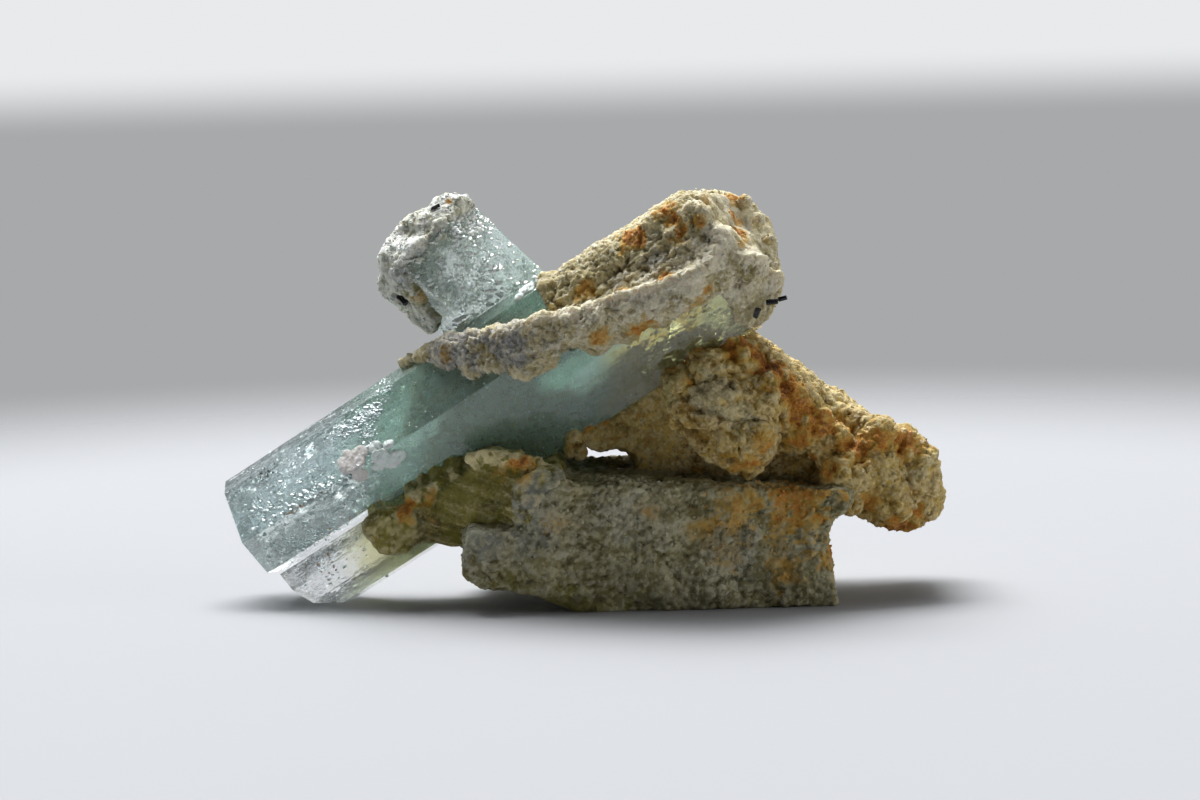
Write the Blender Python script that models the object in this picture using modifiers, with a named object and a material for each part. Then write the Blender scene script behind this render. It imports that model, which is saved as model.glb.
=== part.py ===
"""Aquamarine prisms grown through feldspar: a loose hand specimen 46 mm wide.

Lengths are written in millimetres and turned to metres by MM.  The specimen is modelled with its front
towards -Y and its resting face on z = 0, and is centred over the origin at the end.
"""

import math

import bmesh
import bpy
from mathutils import Euler, Matrix, Vector, noise

MM = 0.001
GAP = 0.3                 # air between a crystal and the feldspar that holds it
NEEDLE_GAP = 0.15         # the same round the small black needles
VOXEL = 0.34              # grain of the feldspar's remeshed surface
WELD = 0.002              # corners closer than this after a cut are one
ROOM_TRIANGLES = 900      # spent on a piece's roomier copy, which cuts its neighbours
STOCK = 160.0             # side of the rough block that a crystal is cut from
PATTERN_STEP = (17.3, 5.1, 9.7)       # one seed's place in the relief pattern from the next
FRACTAL = (0.9, 2.1, 3)               # roughness, scale step and number of layers of the broad relief
KNOB_MIDDLE = 0.5                     # distance from a knob's centre that stays at the old surface
CENTRE = (0.02, 1.7)      # middle of the specimen's box before it is centred

# The main, shoulder and lower crystals are parallel.  Their frame has x along the axis from the lower left
# end, y to the back and z up across the crystal, and starts on the main crystal's upper left corner.
GROUP_CORNER = (-22.99, 4.10, 7.54)
GROUP_PLUNGE = 31.75      # degrees by which the axis climbs to the right
GROUP_HEADING = -10.0     # degrees, the right end nearer the front

# A prism's side faces: degrees from straight down, turning to the front, and distance from the frame's axis.
# An end cut is a direction in the frame and a distance along it.
MAIN_FACES = ((6, 6.80), (66, 5.35), (126, 0.90), (156, 0.05), (186, 0.0), (246, 1.66), (306, 4.73))
MAIN_LENGTH = 37.0
UPPER_FACES = (126, 156, 186)
STEP_START = 24.6         # from here on the main crystal's upper faces lie deeper
STEP_DEPTH = 1.1
STEP_OVERLAP = 1.0        # the stepped part starts this far inside the rest
SHOULDER_FACES = ((6, 10.06), (66, 5.35), (126, -1.0), (186, -3.83), (246, 0.5), (306, 7.3))
SHOULDER_START = 13.0
SHOULDER_LENGTH = 34.9
SHOULDER_CUT = ((-0.602, 0.0, -0.798), -3.47)
BROKEN_END = ((0.912, -0.41, 0.0), 32.5)      # the oblique break at the upper right end
LOWER_FACES = ((6, 10.85), (66, 6.25), (126, -2.35), (186, -7.17), (246, -2.6), (306, 6.25))
LOWER_START = 0.4
LOWER_LENGTH = 14.6
LOWER_TIP = (((-0.94, 0.0, -0.34), 2.0), ((-0.60, 0.0, -0.80), 7.05))

# The crossing crystal has its own frame: x along its axis from the upper left end.
CROSSING_END = (-10.4, 5.5, 23.2)
CROSSING_PLUNGE = -44.2
CROSSING_HEADING = -6.0
CROSSING_FACES = ((-8, 3.25), (38, 3.4), (98, 3.45), (158, 3.55), (218, 3.35), (278, 3.6))
CROSSING_START = 1.3
CROSSING_LENGTH = 13.2
CROSSING_TIP = (((-0.8, -0.2, 0.56), 0.9),)


def material(name, colour, roughness):
    """A plain finish in the piece's own colour."""
    mat = bpy.data.materials.new(name)
    mat.use_nodes = True
    shader = mat.node_tree.nodes["Principled BSDF"]
    shader.inputs["Base Color"].default_value = (*colour, 1.0)
    shader.inputs["Roughness"].default_value = roughness
    shader.inputs["Metallic"].default_value = 0.0
    mat.diffuse_color = (*colour, 1.0)
    return mat


def new_object(name, bm, collection):
    """A mesh object from a bmesh, which is freed."""
    mesh = bpy.data.meshes.new(name)
    bm.to_mesh(mesh)
    bm.free()
    obj = bpy.data.objects.new(name, mesh)
    collection.objects.link(obj)
    return obj


def cutter(name, bm):
    """An object that only cuts others."""
    obj = new_object(name, bm, cutters)
    obj.hide_render = True
    obj.display_type = "WIRE"
    return obj


def slice_off(bm, point, normal):
    """Cuts away what lies beyond a plane and closes the cut."""
    geom = bm.verts[:] + bm.edges[:] + bm.faces[:]
    cut = bmesh.ops.bisect_plane(bm, geom=geom, dist=1e-7, plane_co=point, plane_no=normal, clear_outer=True)
    rim = [e for e in cut["geom_cut"] if isinstance(e, bmesh.types.BMEdge)]
    if rim:
        bmesh.ops.holes_fill(bm, edges=rim, sides=0)


def prism(faces, start, end, cuts=(), swell=0.0):
    """A crystal in its own frame: a rough block cut back face by face, then at both ends."""
    bm = bmesh.new()
    bmesh.ops.create_cube(bm, size=STOCK * MM)
    for angle, distance in faces:
        turn = math.radians(angle)
        normal = Vector((0.0, -math.sin(turn), -math.cos(turn)))
        slice_off(bm, normal * (distance + swell) * MM, normal)
    for normal, distance in ((Vector((-1, 0, 0)), -start), (Vector((1, 0, 0)), end)):
        slice_off(bm, normal * (distance + swell) * MM, normal)
    for direction, distance in cuts:
        normal = Vector(direction).normalized()
        slice_off(bm, normal * (distance + swell) * MM, normal)
    bmesh.ops.recalc_face_normals(bm, faces=bm.faces)
    return bm


def lowered(faces, depth):
    """The faces of a crystal whose upper side lies deeper."""
    return tuple((angle, distance - depth if angle in UPPER_FACES else distance) for angle, distance in faces)


def bake(obj):
    """Replaces an object's mesh by what its modifiers make of it, with its place in the mesh."""
    bpy.context.view_layer.update()
    depsgraph = bpy.context.evaluated_depsgraph_get()
    mesh = bpy.data.meshes.new_from_object(obj.evaluated_get(depsgraph))
    mesh.transform(obj.matrix_world)
    obj.modifiers.clear()
    obj.data = mesh
    obj.matrix_world = Matrix()


def combine(obj, others, operation):
    """Boolean of an object with each of the others."""
    for other in others:
        mod = obj.modifiers.new(operation.lower(), "BOOLEAN")
        mod.operation = operation
        mod.solver = "EXACT"
        mod.object = other
    bake(obj)


def keep_largest(obj):
    """Removes the crumbs that a cut leaves beside the main piece."""
    bm = bmesh.new()
    bm.from_mesh(obj.data)
    bmesh.ops.remove_doubles(bm, verts=bm.verts, dist=WELD * MM)
    bmesh.ops.dissolve_degenerate(bm, dist=WELD * MM, edges=bm.edges)
    left = set(bm.verts)
    islands = []
    while left:
        stack = [left.pop()]
        island = list(stack)
        while stack:
            for edge in stack.pop().link_edges:
                for vert in edge.verts:
                    if vert in left:
                        left.remove(vert)
                        stack.append(vert)
                        island.append(vert)
        islands.append(island)
    islands.sort(key=len)
    for island in islands[:-1]:
        bmesh.ops.delete(bm, geom=island, context="VERTS")
    bm.to_mesh(obj.data)
    bm.free()


# ---- feldspar ----

def add_slab(bm, outline, front, back, lean=0.0):
    """A slab with a front-view outline of (x, z), from y = front to y = back, its back higher by lean."""
    verts = [bm.verts.new(Vector((x, front, z)) * MM) for x, z in outline]
    face = bm.faces.new(verts)
    swept = bmesh.ops.extrude_face_region(bm, geom=[face])["geom"]
    moved = [v for v in swept if isinstance(v, bmesh.types.BMVert)]
    bmesh.ops.translate(bm, verts=moved, vec=Vector((0.0, back - front, lean)) * MM)


def add_lump(bm, centre, radius):
    """A rounded lump."""
    where = Matrix.Translation(Vector(centre) * MM)
    bmesh.ops.create_icosphere(bm, subdivisions=2, radius=radius * MM, matrix=where)


def fuse(obj):
    """Makes one skin of all that overlaps in an object."""
    mod = obj.modifiers.new("fuse", "REMESH")
    mod.mode = "VOXEL"
    mod.voxel_size = VOXEL * MM
    bake(obj)


def roughen(obj, relief, size, seed, knobs=0.0, knob_size=1.5):
    """Pushes the skin in and out: broad relief, and round knobs packed side by side."""
    bm = bmesh.new()
    bm.from_mesh(obj.data)
    bm.normal_update()
    offset = Vector(PATTERN_STEP) * seed
    moves = []
    for vert in bm.verts:
        place_mm = vert.co / MM
        push = relief * noise.fractal(place_mm / size + offset, *FRACTAL)
        if knobs:
            near = noise.voronoi(place_mm / knob_size + offset)[0][0]
            push += knobs * (KNOB_MIDDLE - near)
        moves.append(vert.normal * push * MM)
    for vert, move in zip(bm.verts, moves):
        vert.co += move
    bm.to_mesh(obj.data)
    bm.free()
    fuse(obj)


def thin_out(obj, triangles):
    """Spends no more than about this many triangles on the piece."""
    bm = bmesh.new()
    bm.from_mesh(obj.data)
    bmesh.ops.triangulate(bm, faces=bm.faces)
    bm.to_mesh(obj.data)
    bm.free()
    mod = obj.modifiers.new("thin", "DECIMATE")
    mod.ratio = min(1.0, triangles / len(obj.data.polygons))
    bake(obj)


def swollen(obj, name):
    """A cutter of an object's shape, larger by the gap all round."""
    bm = bmesh.new()
    bm.from_mesh(obj.data)
    bm.normal_update()
    moves = [v.normal * GAP * MM for v in bm.verts]
    for vert, move in zip(bm.verts, moves):
        vert.co += move
    tool = cutter(name, bm)
    fuse(tool)
    thin_out(tool, ROOM_TRIANGLES)
    return tool


def flatten_base(obj):
    """Cuts a piece off flat at the height that the specimen rests on."""
    bm = bmesh.new()
    bm.from_mesh(obj.data)
    slice_off(bm, Vector(), Vector((0, 0, -1)))
    bm.to_mesh(obj.data)
    bm.free()


def finish(obj, mat):
    """Gives a piece its finish."""
    obj.data.materials.clear()
    obj.data.materials.append(mat)


def rock(name, build, triangles, **rough):
    """A feldspar piece: its masses fused and roughened, with a fine copy kept for cutting neighbours."""
    bm = bmesh.new()
    build(bm)
    bmesh.ops.recalc_face_normals(bm, faces=bm.faces)
    obj = new_object(name, bm, specimen)
    fuse(obj)
    roughen(obj, **rough)
    tool = swollen(obj, name + "_room")
    thin_out(obj, triangles)
    return obj, tool


def block_masses(bm):
    front = ((-7.45, 2.3), (-5.75, 1.45), (-2.65, 0.9), (0.4, -0.6), (15.95, -0.6), (15.6, 2.0), (15.2, 4.2),
             (15.5, 5.3), (16.7, 6.0), (16.8, 7.1), (-1.1, 8.2), (-2.7, 6.2), (-4.0, 4.9), (-6.9, 5.3),
             (-7.3, 4.2))
    add_slab(bm, front, -5.5, 5.6, lean=0.45)
    back = ((-5.6, 2.6), (-1.5, 1.1), (0.8, -0.6), (14.6, -0.6), (14.9, 3.0), (14.2, 6.9), (-0.9, 7.9),
            (-3.6, 5.2), (-5.8, 4.6))
    add_slab(bm, back, 4.6, 6.6, lean=-0.3)
    add_slab(bm, ((-3.5, 1.5), (9.0, 0.7), (9.6, 3.6), (-3.2, 3.9)), -5.9, -5.0)


def arm_masses(bm):
    slab = ((10.8, 16.5), (15.3, 13.2), (19.8, 9.9), (21.3, 9.8), (22.2, 9.0), (22.9, 6.2), (22.6, 5.0),
            (20.5, 4.3), (19.7, 4.4), (17.5, 5.0), (16.4, 6.6), (9.5, 7.0), (4.0, 7.4), (3.6, 9.4),
            (0.4, 9.9), (-0.6, 12.6), (2.8, 16.4), (6.5, 18.2))
    add_slab(bm, slab, -1.6, 5.8)
    add_slab(bm, ((4.6, 7.4), (16.8, 7.4), (20.8, 6.0), (20.9, 8.8), (15.2, 12.2), (8.0, 16.0), (3.6, 12.4)),
             5.0, 7.4)
    for x, y, z, r in ARM_LUMPS:
        add_lump(bm, (x, y, z), r)


# The knobbly front of the arm: x, y, z and radius.
ARM_LUMPS = (
    (6.6, -2.9, 13.6, 1.5), (8.4, -3.2, 14.6, 1.5), (10.1, -2.7, 15.0, 1.5), (7.4, -3.7, 12.1, 1.7),
    (9.4, -4.0, 12.8, 1.8), (11.4, -3.5, 12.7, 1.7), (8.9, -3.9, 10.6, 1.7), (10.7, -4.0, 10.5, 1.6),
    (10.4, -3.7, 9.2, 1.1), (12.6, -3.0, 10.9, 1.5), (13.6, -2.5, 12.6, 1.3), (12.4, -2.3, 14.0, 1.2),
    (14.5, -2.6, 10.7, 1.4), (15.9, -2.7, 9.6, 1.2), (16.2, -3.3, 7.9, 1.3), (16.7, -3.4, 6.3, 1.0),
    (18.2, -2.4, 8.2, 1.7), (18.9, -1.9, 10.0, 1.1), (20.2, -1.6, 9.3, 1.3), (21.2, -1.2, 7.4, 1.5),
    (19.4, -2.0, 6.3, 1.6), (21.6, -0.6, 5.7, 1.1), (20.3, -0.4, 4.9, 0.9), (21.1, 2.2, 6.6, 1.8),
    (19.6, 4.2, 7.2, 1.7), (14.0, 6.2, 10.6, 1.8), (9.0, 6.6, 12.4, 1.9),
)


def wedge_masses(bm):
    add_slab(bm, ((-13.2, 4.5), (-13.2, 5.9), (-10.7, 6.7), (-7.6, 8.7), (-7.2, 10.0), (-4.4, 9.7), (-5.2, 5.4),
                  (-7.4, 4.0), (-8.2, 3.7), (-10.4, 4.1), (-12.0, 3.9)), -1.9, 3.6)
    add_slab(bm, ((-9.6, 5.0), (-9.0, 7.2), (-6.9, 8.9), (-3.6, 9.3), (-3.0, 7.2), (-5.0, 5.2)), -3.0, 3.0)
    add_slab(bm, ((-7.3, 5.7), (-6.8, 7.6), (-4.8, 8.9), (-1.5, 8.9), (-2.2, 6.6), (-4.1, 5.3)), -4.0, 3.0)
    add_slab(bm, ((-4.4, 5.3), (-4.2, 8.0), (-2.2, 9.1), (-0.9, 8.9), (-1.2, 7.6), (-2.6, 5.7)), -5.2, 2.0)
    add_slab(bm, ((-6.5, 6.0), (-7.0, 9.0), (-3.0, 12.5), (-0.6, 12.3), (-0.9, 9.0), (-2.6, 7.0)), 2.6, 6.2)
    for x, y, z, r in ((-12.1, -1.5, 5.2, 1.45), (-10.9, -1.7, 5.3, 1.2), (-3.2, -4.7, 6.6, 1.1),
                       (-2.0, -4.6, 8.2, 1.0), (-5.4, -2.6, 9.2, 0.9), (-3.9, -2.8, 9.1, 0.9)):
        add_lump(bm, (x, y, z), r)


# The crust's raised band across the front: x, y, z in the parallel crystals' frame, and radius.
BAND_LUMPS = (
    (13.4, 0.4, -0.4, 0.7), (14.6, 0.0, -0.6, 1.0), (16.1, -0.8, -0.8, 1.25), (17.7, -1.6, -1.1, 1.4),
    (19.3, -2.3, -1.7, 1.4), (20.9, -2.9, -2.3, 1.4), (22.5, -3.5, -3.0, 1.35), (24.1, -4.1, -3.5, 1.3),
    (25.7, -4.3, -4.1, 1.25), (27.2, -4.2, -4.6, 1.25), (28.8, -3.9, -5.0, 1.25), (30.4, -3.6, -5.4, 1.3),
    (32.0, -3.4, -5.7, 1.35), (33.6, -3.1, -5.8, 1.5), (34.9, -2.8, -5.4, 1.5),
    (15.4, -1.0, -1.8, 0.9), (17.0, -1.9, -2.4, 1.15), (18.8, -2.7, -3.0, 1.2), (20.5, -3.3, -3.7, 1.2),
    (22.0, -3.8, -4.4, 1.0), (23.4, -4.2, -4.6, 0.9), (26.4, -3.9, -5.3, 1.0), (28.2, -3.6, -5.9, 0.9),
    (30.6, -3.2, -6.4, 0.8),
)
CAP_LUMPS = (
    (36.0, -2.4, -4.6, 1.3), (35.6, -2.3, -2.6, 1.1), (36.2, -1.9, -6.6, 1.6), (36.3, -0.8, -8.2, 1.4),
    (35.6, -1.0, -9.2, 0.9), (34.6, -1.7, -8.9, 0.8), (36.3, 1.2, -5.6, 1.4), (35.8, 1.4, -3.2, 1.2),
    (36.3, 1.0, -7.9, 1.2), (33.0, 2.8, -3.0, 1.3), (30.0, 3.0, -3.4, 1.2), (27.4, 2.6, -2.9, 1.1),
    (31.5, 0.2, -1.5, 0.9), (28.8, -0.4, -1.5, 0.9), (26.4, -0.7, -1.4, 0.8), (33.6, -0.6, -1.6, 0.9),
    (25.0, -1.5, -0.9, 0.7), (24.9, -2.4, -1.8, 0.7), (25.2, -0.4, -0.3, 0.5), (27.6, -2.0, -2.0, 0.8),
    (29.9, -2.4, -2.6, 0.8), (31.9, -2.0, -2.2, 0.7),
)


def group_matrix():
    """The parallel crystals' frame as a matrix."""
    turn = Euler((0.0, math.radians(-GROUP_PLUNGE), math.radians(GROUP_HEADING)))
    return Matrix.Translation(Vector(GROUP_CORNER) * MM) @ turn.to_matrix().to_4x4()


def crossing_matrix():
    """The crossing crystal's frame as a matrix."""
    turn = Euler((0.0, math.radians(-CROSSING_PLUNGE), math.radians(CROSSING_HEADING)))
    return Matrix.Translation(Vector(CROSSING_END) * MM) @ turn.to_matrix().to_4x4()


def add_coat(bm, coat, frame):
    """Adds a coat, cut like a crystal in a crystal's frame."""
    bmesh.ops.transform(coat, matrix=frame, verts=coat.verts)
    mesh = bpy.data.meshes.new("coat")
    coat.to_mesh(mesh)
    coat.free()
    bm.from_mesh(mesh)


# The crust's coat on the stepped part and its cap over the broken end, both cut like crystals.
COAT_FACES = ((6, 6.2), (66, 4.7), (126, 0.75), (156, -0.2), (186, -0.3), (246, 2.6), (306, 5.0))
COAT_SPAN = (STEP_START - 0.3, 35.5)
CAP_FACES = ((6, 10.3), (66, 5.9), (126, 0.75), (156, -0.2), (186, -0.3), (246, 3.0), (306, 7.6))
CAP_SPAN = (34.4, 39.5)
CAP_CUTS = (((0.912, -0.41, 0.0), 33.0), ((0.6, 0.0, 0.8), 20.8), ((0.49, 0.0, -0.87), 25.8))


def crust_masses(bm):
    frame = group_matrix()
    add_coat(bm, prism(COAT_FACES, *COAT_SPAN), frame)
    add_coat(bm, prism(CAP_FACES, *CAP_SPAN, cuts=CAP_CUTS), frame)
    for x, y, z, r in BAND_LUMPS + CAP_LUMPS:
        add_lump(bm, frame @ (Vector((x, y, z)) * MM) / MM, r)


# The fine-grained coating at the crossing crystal's upper end: x, y, z in its frame, and radius.
DRUSE_LUMPS = (
    (0.7, -1.0, 3.2, 0.9), (1.3, -0.2, 3.7, 0.7), (1.3, -1.9, 2.5, 0.9), (0.5, -1.4, 1.5, 1.1),
    (0.3, -0.6, -0.2, 1.3), (0.4, -1.9, -1.6, 1.2), (1.2, -1.6, -2.8, 1.0), (1.0, -2.8, -0.2, 0.9),
    (0.7, 0.9, 2.7, 1.1), (0.3, 1.4, 0.8, 1.3), (0.5, 1.2, -1.5, 1.2), (1.0, 0.6, -2.8, 1.1),
    (1.2, 2.7, 1.7, 1.1), (1.0, 2.9, -0.6, 1.1), (1.5, 2.4, -2.4, 1.1), (2.7, 3.1, -1.9, 0.9),
    (2.9, 3.2, 0.6, 0.8), (-0.4, -0.9, 0.6, 0.8), (-0.1, -1.2, -0.7, 0.8), (0.1, -0.7, 2.9, 0.6),
)


DRUSE_END_FACES = ((-8, 3.7), (38, 3.9), (98, 3.8), (158, 3.6), (218, 3.7), (278, 4.1))
DRUSE_END_SPAN = (0.8, 2.3)
DRUSE_SIDE_FACES = ((-8, 3.75), (38, 3.95), (98, 3.95), (158, 2.0), (218, 2.0), (278, 4.1))
DRUSE_SIDE_SPAN = (1.0, 5.4)
DRUSE_SIDE_CUTS = (((0.3, 0.0, 0.95), -0.9), ((0.8, 0.0, 0.6), 2.6))


def druse_masses(bm):
    frame = crossing_matrix()
    add_coat(bm, prism(DRUSE_END_FACES, *DRUSE_END_SPAN), frame)
    add_coat(bm, prism(DRUSE_SIDE_FACES, *DRUSE_SIDE_SPAN, cuts=DRUSE_SIDE_CUTS), frame)
    for x, y, z, r in DRUSE_LUMPS:
        add_lump(bm, frame @ (Vector((x, y, z)) * MM) / MM, r)


# Black needles: centre, direction, half length and thickness.
NEEDLE_TAPER = 0.92       # a needle's far end is this much of its near end
NEEDLES = (
    ((-11.1, 3.2, 19.1), (0.6, -0.5, -0.65), 0.6, 0.62),
    ((-8.8, 3.2, 25.0), (0.75, -0.5, 0.4), 0.5, 0.34),
    ((12.2, -4.3, 18.95), (0.97, -0.15, 0.1), 0.6, 0.5),
    ((12.9, -3.7, 19.1), (0.95, -0.2, 0.25), 0.45, 0.42),
    ((11.25, -4.5, 18.3), (0.3, -0.45, 0.85), 0.5, 0.55),
)


def needle(centre, direction, half, thickness, swell=0.0):
    """A short hexagonal stub."""
    bm = bmesh.new()
    radius = (thickness / 2 + swell) * MM
    turn = Vector(direction).to_track_quat("Z", "Y").to_matrix().to_4x4()
    where = Matrix.Translation(Vector(centre) * MM) @ turn
    bmesh.ops.create_cone(bm, cap_ends=True, segments=6, radius1=radius, radius2=radius * NEEDLE_TAPER,
                          depth=2 * (half + swell) * MM, matrix=where)
    return bm


def build_crystals():
    """The three aquamarine solids, and a roomier copy of each prism for the sockets in the feldspar."""
    clear = material("aquamarine", (0.52, 0.70, 0.70), 0.08)
    upper = lowered(MAIN_FACES, STEP_DEPTH)
    main = new_object("aquamarine_main_crystal", prism(MAIN_FACES, 0.0, STEP_START), specimen)
    shoulder_cuts = (SHOULDER_CUT, BROKEN_END)
    stepped = cutter("stepped_part", prism(upper, STEP_START - STEP_OVERLAP, MAIN_LENGTH, (BROKEN_END,)))
    shoulder = cutter("shoulder_part",
                      prism(SHOULDER_FACES, SHOULDER_START, SHOULDER_LENGTH, shoulder_cuts))
    for obj in (main, stepped, shoulder):
        obj.matrix_world = group_matrix()
        bake(obj)
    combine(main, (stepped, shoulder), "UNION")
    lower = new_object("aquamarine_lower_crystal",
                       prism(LOWER_FACES, LOWER_START, LOWER_LENGTH, LOWER_TIP), specimen)
    lower.matrix_world = group_matrix()
    bake(lower)
    flatten_base(lower)
    group_room = (
        prism(MAIN_FACES, 0.0, STEP_START, swell=GAP),
        prism(upper, STEP_START - STEP_OVERLAP, MAIN_LENGTH, (BROKEN_END,), swell=GAP),
        prism(SHOULDER_FACES, SHOULDER_START, SHOULDER_LENGTH, shoulder_cuts, swell=GAP),
        prism(LOWER_FACES, LOWER_START, LOWER_LENGTH, LOWER_TIP, swell=GAP),
    )
    rooms = []
    for number, shape in enumerate(group_room, 1):
        room = cutter("crystal_room_%d" % number, shape)
        room.matrix_world = group_matrix()
        rooms.append(room)
    crossing = new_object("aquamarine_crossing_crystal",
                          prism(CROSSING_FACES, CROSSING_START, CROSSING_LENGTH, CROSSING_TIP), specimen)
    crossing.matrix_world = crossing_matrix()
    bake(crossing)
    combine(crossing, rooms[:3], "DIFFERENCE")
    keep_largest(crossing)
    crossing_room = cutter("crystal_room_5",
                           prism(CROSSING_FACES, CROSSING_START, CROSSING_LENGTH, CROSSING_TIP, swell=GAP))
    crossing_room.matrix_world = crossing_matrix()
    rooms.append(crossing_room)
    for obj in (main, lower, crossing):
        finish(obj, clear)
    return rooms


def build_needles():
    """The black stubs, and a roomier copy of each."""
    black = material("schorl", (0.012, 0.012, 0.014), 0.25)
    rooms = []
    for number, spec in enumerate(NEEDLES, 1):
        stub = new_object("schorl_needle_%d" % number, needle(*spec), specimen)
        finish(stub, black)
        rooms.append(cutter("needle_room_%d" % number, needle(*spec, swell=NEEDLE_GAP)))
    return rooms


def build_feldspar(crystal_rooms, needle_rooms):
    """The feldspar pieces, each cut to clear the crystals and the pieces made before it."""
    cream = material("cream feldspar", (0.62, 0.57, 0.44), 0.75)
    grey = material("grey feldspar", (0.45, 0.44, 0.36), 0.8)
    yellow = material("yellow feldspar", (0.52, 0.47, 0.24), 0.6)
    white = material("white feldspar", (0.72, 0.70, 0.64), 0.7)
    pieces = (
        ("feldspar_block", block_masses, 1500, grey, dict(relief=0.28, size=2.4, seed=1, knobs=0.25,
                                                          knob_size=1.3)),
        ("feldspar_crust", crust_masses, 2100, white, dict(relief=0.22, size=1.8, seed=2, knobs=0.2,
                                                           knob_size=1.2)),
        ("feldspar_wedge", wedge_masses, 1200, yellow, dict(relief=0.22, size=2.0, seed=3, knobs=0.15,
                                                            knob_size=1.1)),
        ("feldspar_arm", arm_masses, 2200, cream, dict(relief=0.25, size=2.2, seed=4, knobs=0.45,
                                                       knob_size=1.5)),
        ("feldspar_druse", druse_masses, 1000, white, dict(relief=0.2, size=1.4, seed=5, knobs=0.3,
                                                           knob_size=1.0)),
    )
    neighbours = []
    for name, build, triangles, mat, rough in pieces:
        obj, tool = rock(name, build, triangles, **rough)
        flatten_base(obj)
        combine(obj, crystal_rooms + needle_rooms + neighbours, "DIFFERENCE")
        keep_largest(obj)
        neighbours.append(tool)
        finish(obj, mat)


def main():
    for obj in list(bpy.data.objects):
        bpy.data.objects.remove(obj)
    global specimen, cutters
    specimen = bpy.data.collections.new("aquamarine specimen")
    cutters = bpy.data.collections.new("cutters")
    for collection in (specimen, cutters):
        bpy.context.scene.collection.children.link(collection)
    crystal_rooms = build_crystals()
    needle_rooms = build_needles()
    build_feldspar(crystal_rooms, needle_rooms)
    shift = Matrix.Translation(Vector((-CENTRE[0], -CENTRE[1], 0.0)) * MM)
    for obj in specimen.objects:
        obj.data.transform(shift)


main()
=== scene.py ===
"""Aquamarine prisms grown through feldspar: the finish of every surface, the stage and the camera.

Lengths in the tables are in millimetres and turned to metres by MM.  The specimen's front is towards -Y.
"""

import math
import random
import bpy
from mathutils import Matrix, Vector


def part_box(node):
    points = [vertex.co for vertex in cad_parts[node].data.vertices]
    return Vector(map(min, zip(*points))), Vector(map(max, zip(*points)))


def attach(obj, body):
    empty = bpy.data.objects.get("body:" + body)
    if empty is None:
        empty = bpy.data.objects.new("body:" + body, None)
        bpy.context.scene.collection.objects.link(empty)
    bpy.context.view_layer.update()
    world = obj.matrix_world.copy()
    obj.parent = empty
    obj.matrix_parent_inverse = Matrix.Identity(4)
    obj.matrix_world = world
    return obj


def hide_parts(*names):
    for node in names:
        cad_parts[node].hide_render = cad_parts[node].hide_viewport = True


bl_info = {
    "name": "Aquamarine Specimen",
    "version": (1, 0, 0),
    "blender": (4, 5, 0),
    "location": "View3D > Sidebar > Specimen",
    "description": "Dresses an aquamarine and feldspar hand specimen and sets the stage for it",
    "category": "Object",
}

from functools import partial

import bmesh
import bpy
import numpy as np
from bpy.props import FloatProperty, FloatVectorProperty, IntProperty, PointerProperty
from mathutils import Euler, Matrix, Vector, noise
from mathutils.bvhtree import BVHTree
from mathutils.geometry import intersect_point_line

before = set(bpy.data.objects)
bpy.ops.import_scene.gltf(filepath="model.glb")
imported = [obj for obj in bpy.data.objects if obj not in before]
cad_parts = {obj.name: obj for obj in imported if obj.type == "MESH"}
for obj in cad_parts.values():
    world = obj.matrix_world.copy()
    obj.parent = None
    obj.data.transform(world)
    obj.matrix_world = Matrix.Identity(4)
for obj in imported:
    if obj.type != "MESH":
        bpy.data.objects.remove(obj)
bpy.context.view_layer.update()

MM = 0.001
COARSER = 1.0
MAIN, LOWER, CROSSING = "aquamarine_main_crystal", "aquamarine_lower_crystal", "aquamarine_crossing_crystal"
CRYSTALS = (MAIN, LOWER, CROSSING)
ROCKS = ("feldspar_block", "feldspar_arm", "feldspar_wedge", "feldspar_crust", "feldspar_druse")
GROUP_TURN = Euler((0.0, math.radians(-31.75), math.radians(-10.0)))    # turns X onto the parallel prisms' axis
CROSSING_TURN = Euler((0.0, math.radians(44.2), math.radians(-6.0)))    # the same for the crossing prism
AXIS = GROUP_TURN.to_matrix() @ Vector((1.0, 0.0, 0.0))


# ---- colours and shader nodes ----

def linear(code, alpha=1.0):
    """A colour as Blender wants it, from its sRGB hex code."""
    channels = [int(code[i:i + 2], 16) / 255 for i in (1, 3, 5)]
    return tuple(c / 12.92 if c <= 0.04045 else ((c + 0.055) / 1.055) ** 2.4 for c in channels) + (alpha,)


SOFT = {"interpolation_type": "SMOOTHSTEP"}          # settings that many shader nodes share
COLOURS = {"data_type": "RGBA"}
TIMES, PLUS, MINUS, TIMES_PLUS, LARGER, LONGER, UNIT, LENGTH, DOT = (
    {"operation": name} for name in ("MULTIPLY", "ADD", "SUBTRACT", "MULTIPLY_ADD", "MAXIMUM", "SCALE", "NORMALIZE",
                                     "LENGTH", "DOT_PRODUCT"))


def add_node(tree, kind, *values, out=0, **named):
    """Adds a shader node: its settings first, if it has any, then its inputs in order or by name.

    A colour may be a hex code.  Gives the output asked for.
    """
    node = tree.nodes.new("ShaderNode" + kind)
    if values and isinstance(values[0], dict):
        for key, value in values[0].items():
            setattr(node, key, value)
        values = values[1:]
    inputs = list(zip([socket for socket in node.inputs if socket.enabled], values))
    inputs += [(node.inputs[key.replace("_", " ")], value) for key, value in named.items()]
    for socket, value in inputs:
        if isinstance(value, bpy.types.NodeSocket):
            tree.links.new(value, socket)
        else:
            socket.default_value = linear(value) if isinstance(value, str) else value
    outputs = {socket.name: socket for socket in reversed(node.outputs) if socket.enabled}
    return outputs[out] if out else next(reversed(outputs.values()), None)


def new_material(name):
    """An empty material, and what adds a node to it."""
    mat = bpy.data.materials.new(name)
    mat.use_nodes = True
    mat.node_tree.nodes.clear()
    return mat, partial(add_node, mat.node_tree)


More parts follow.
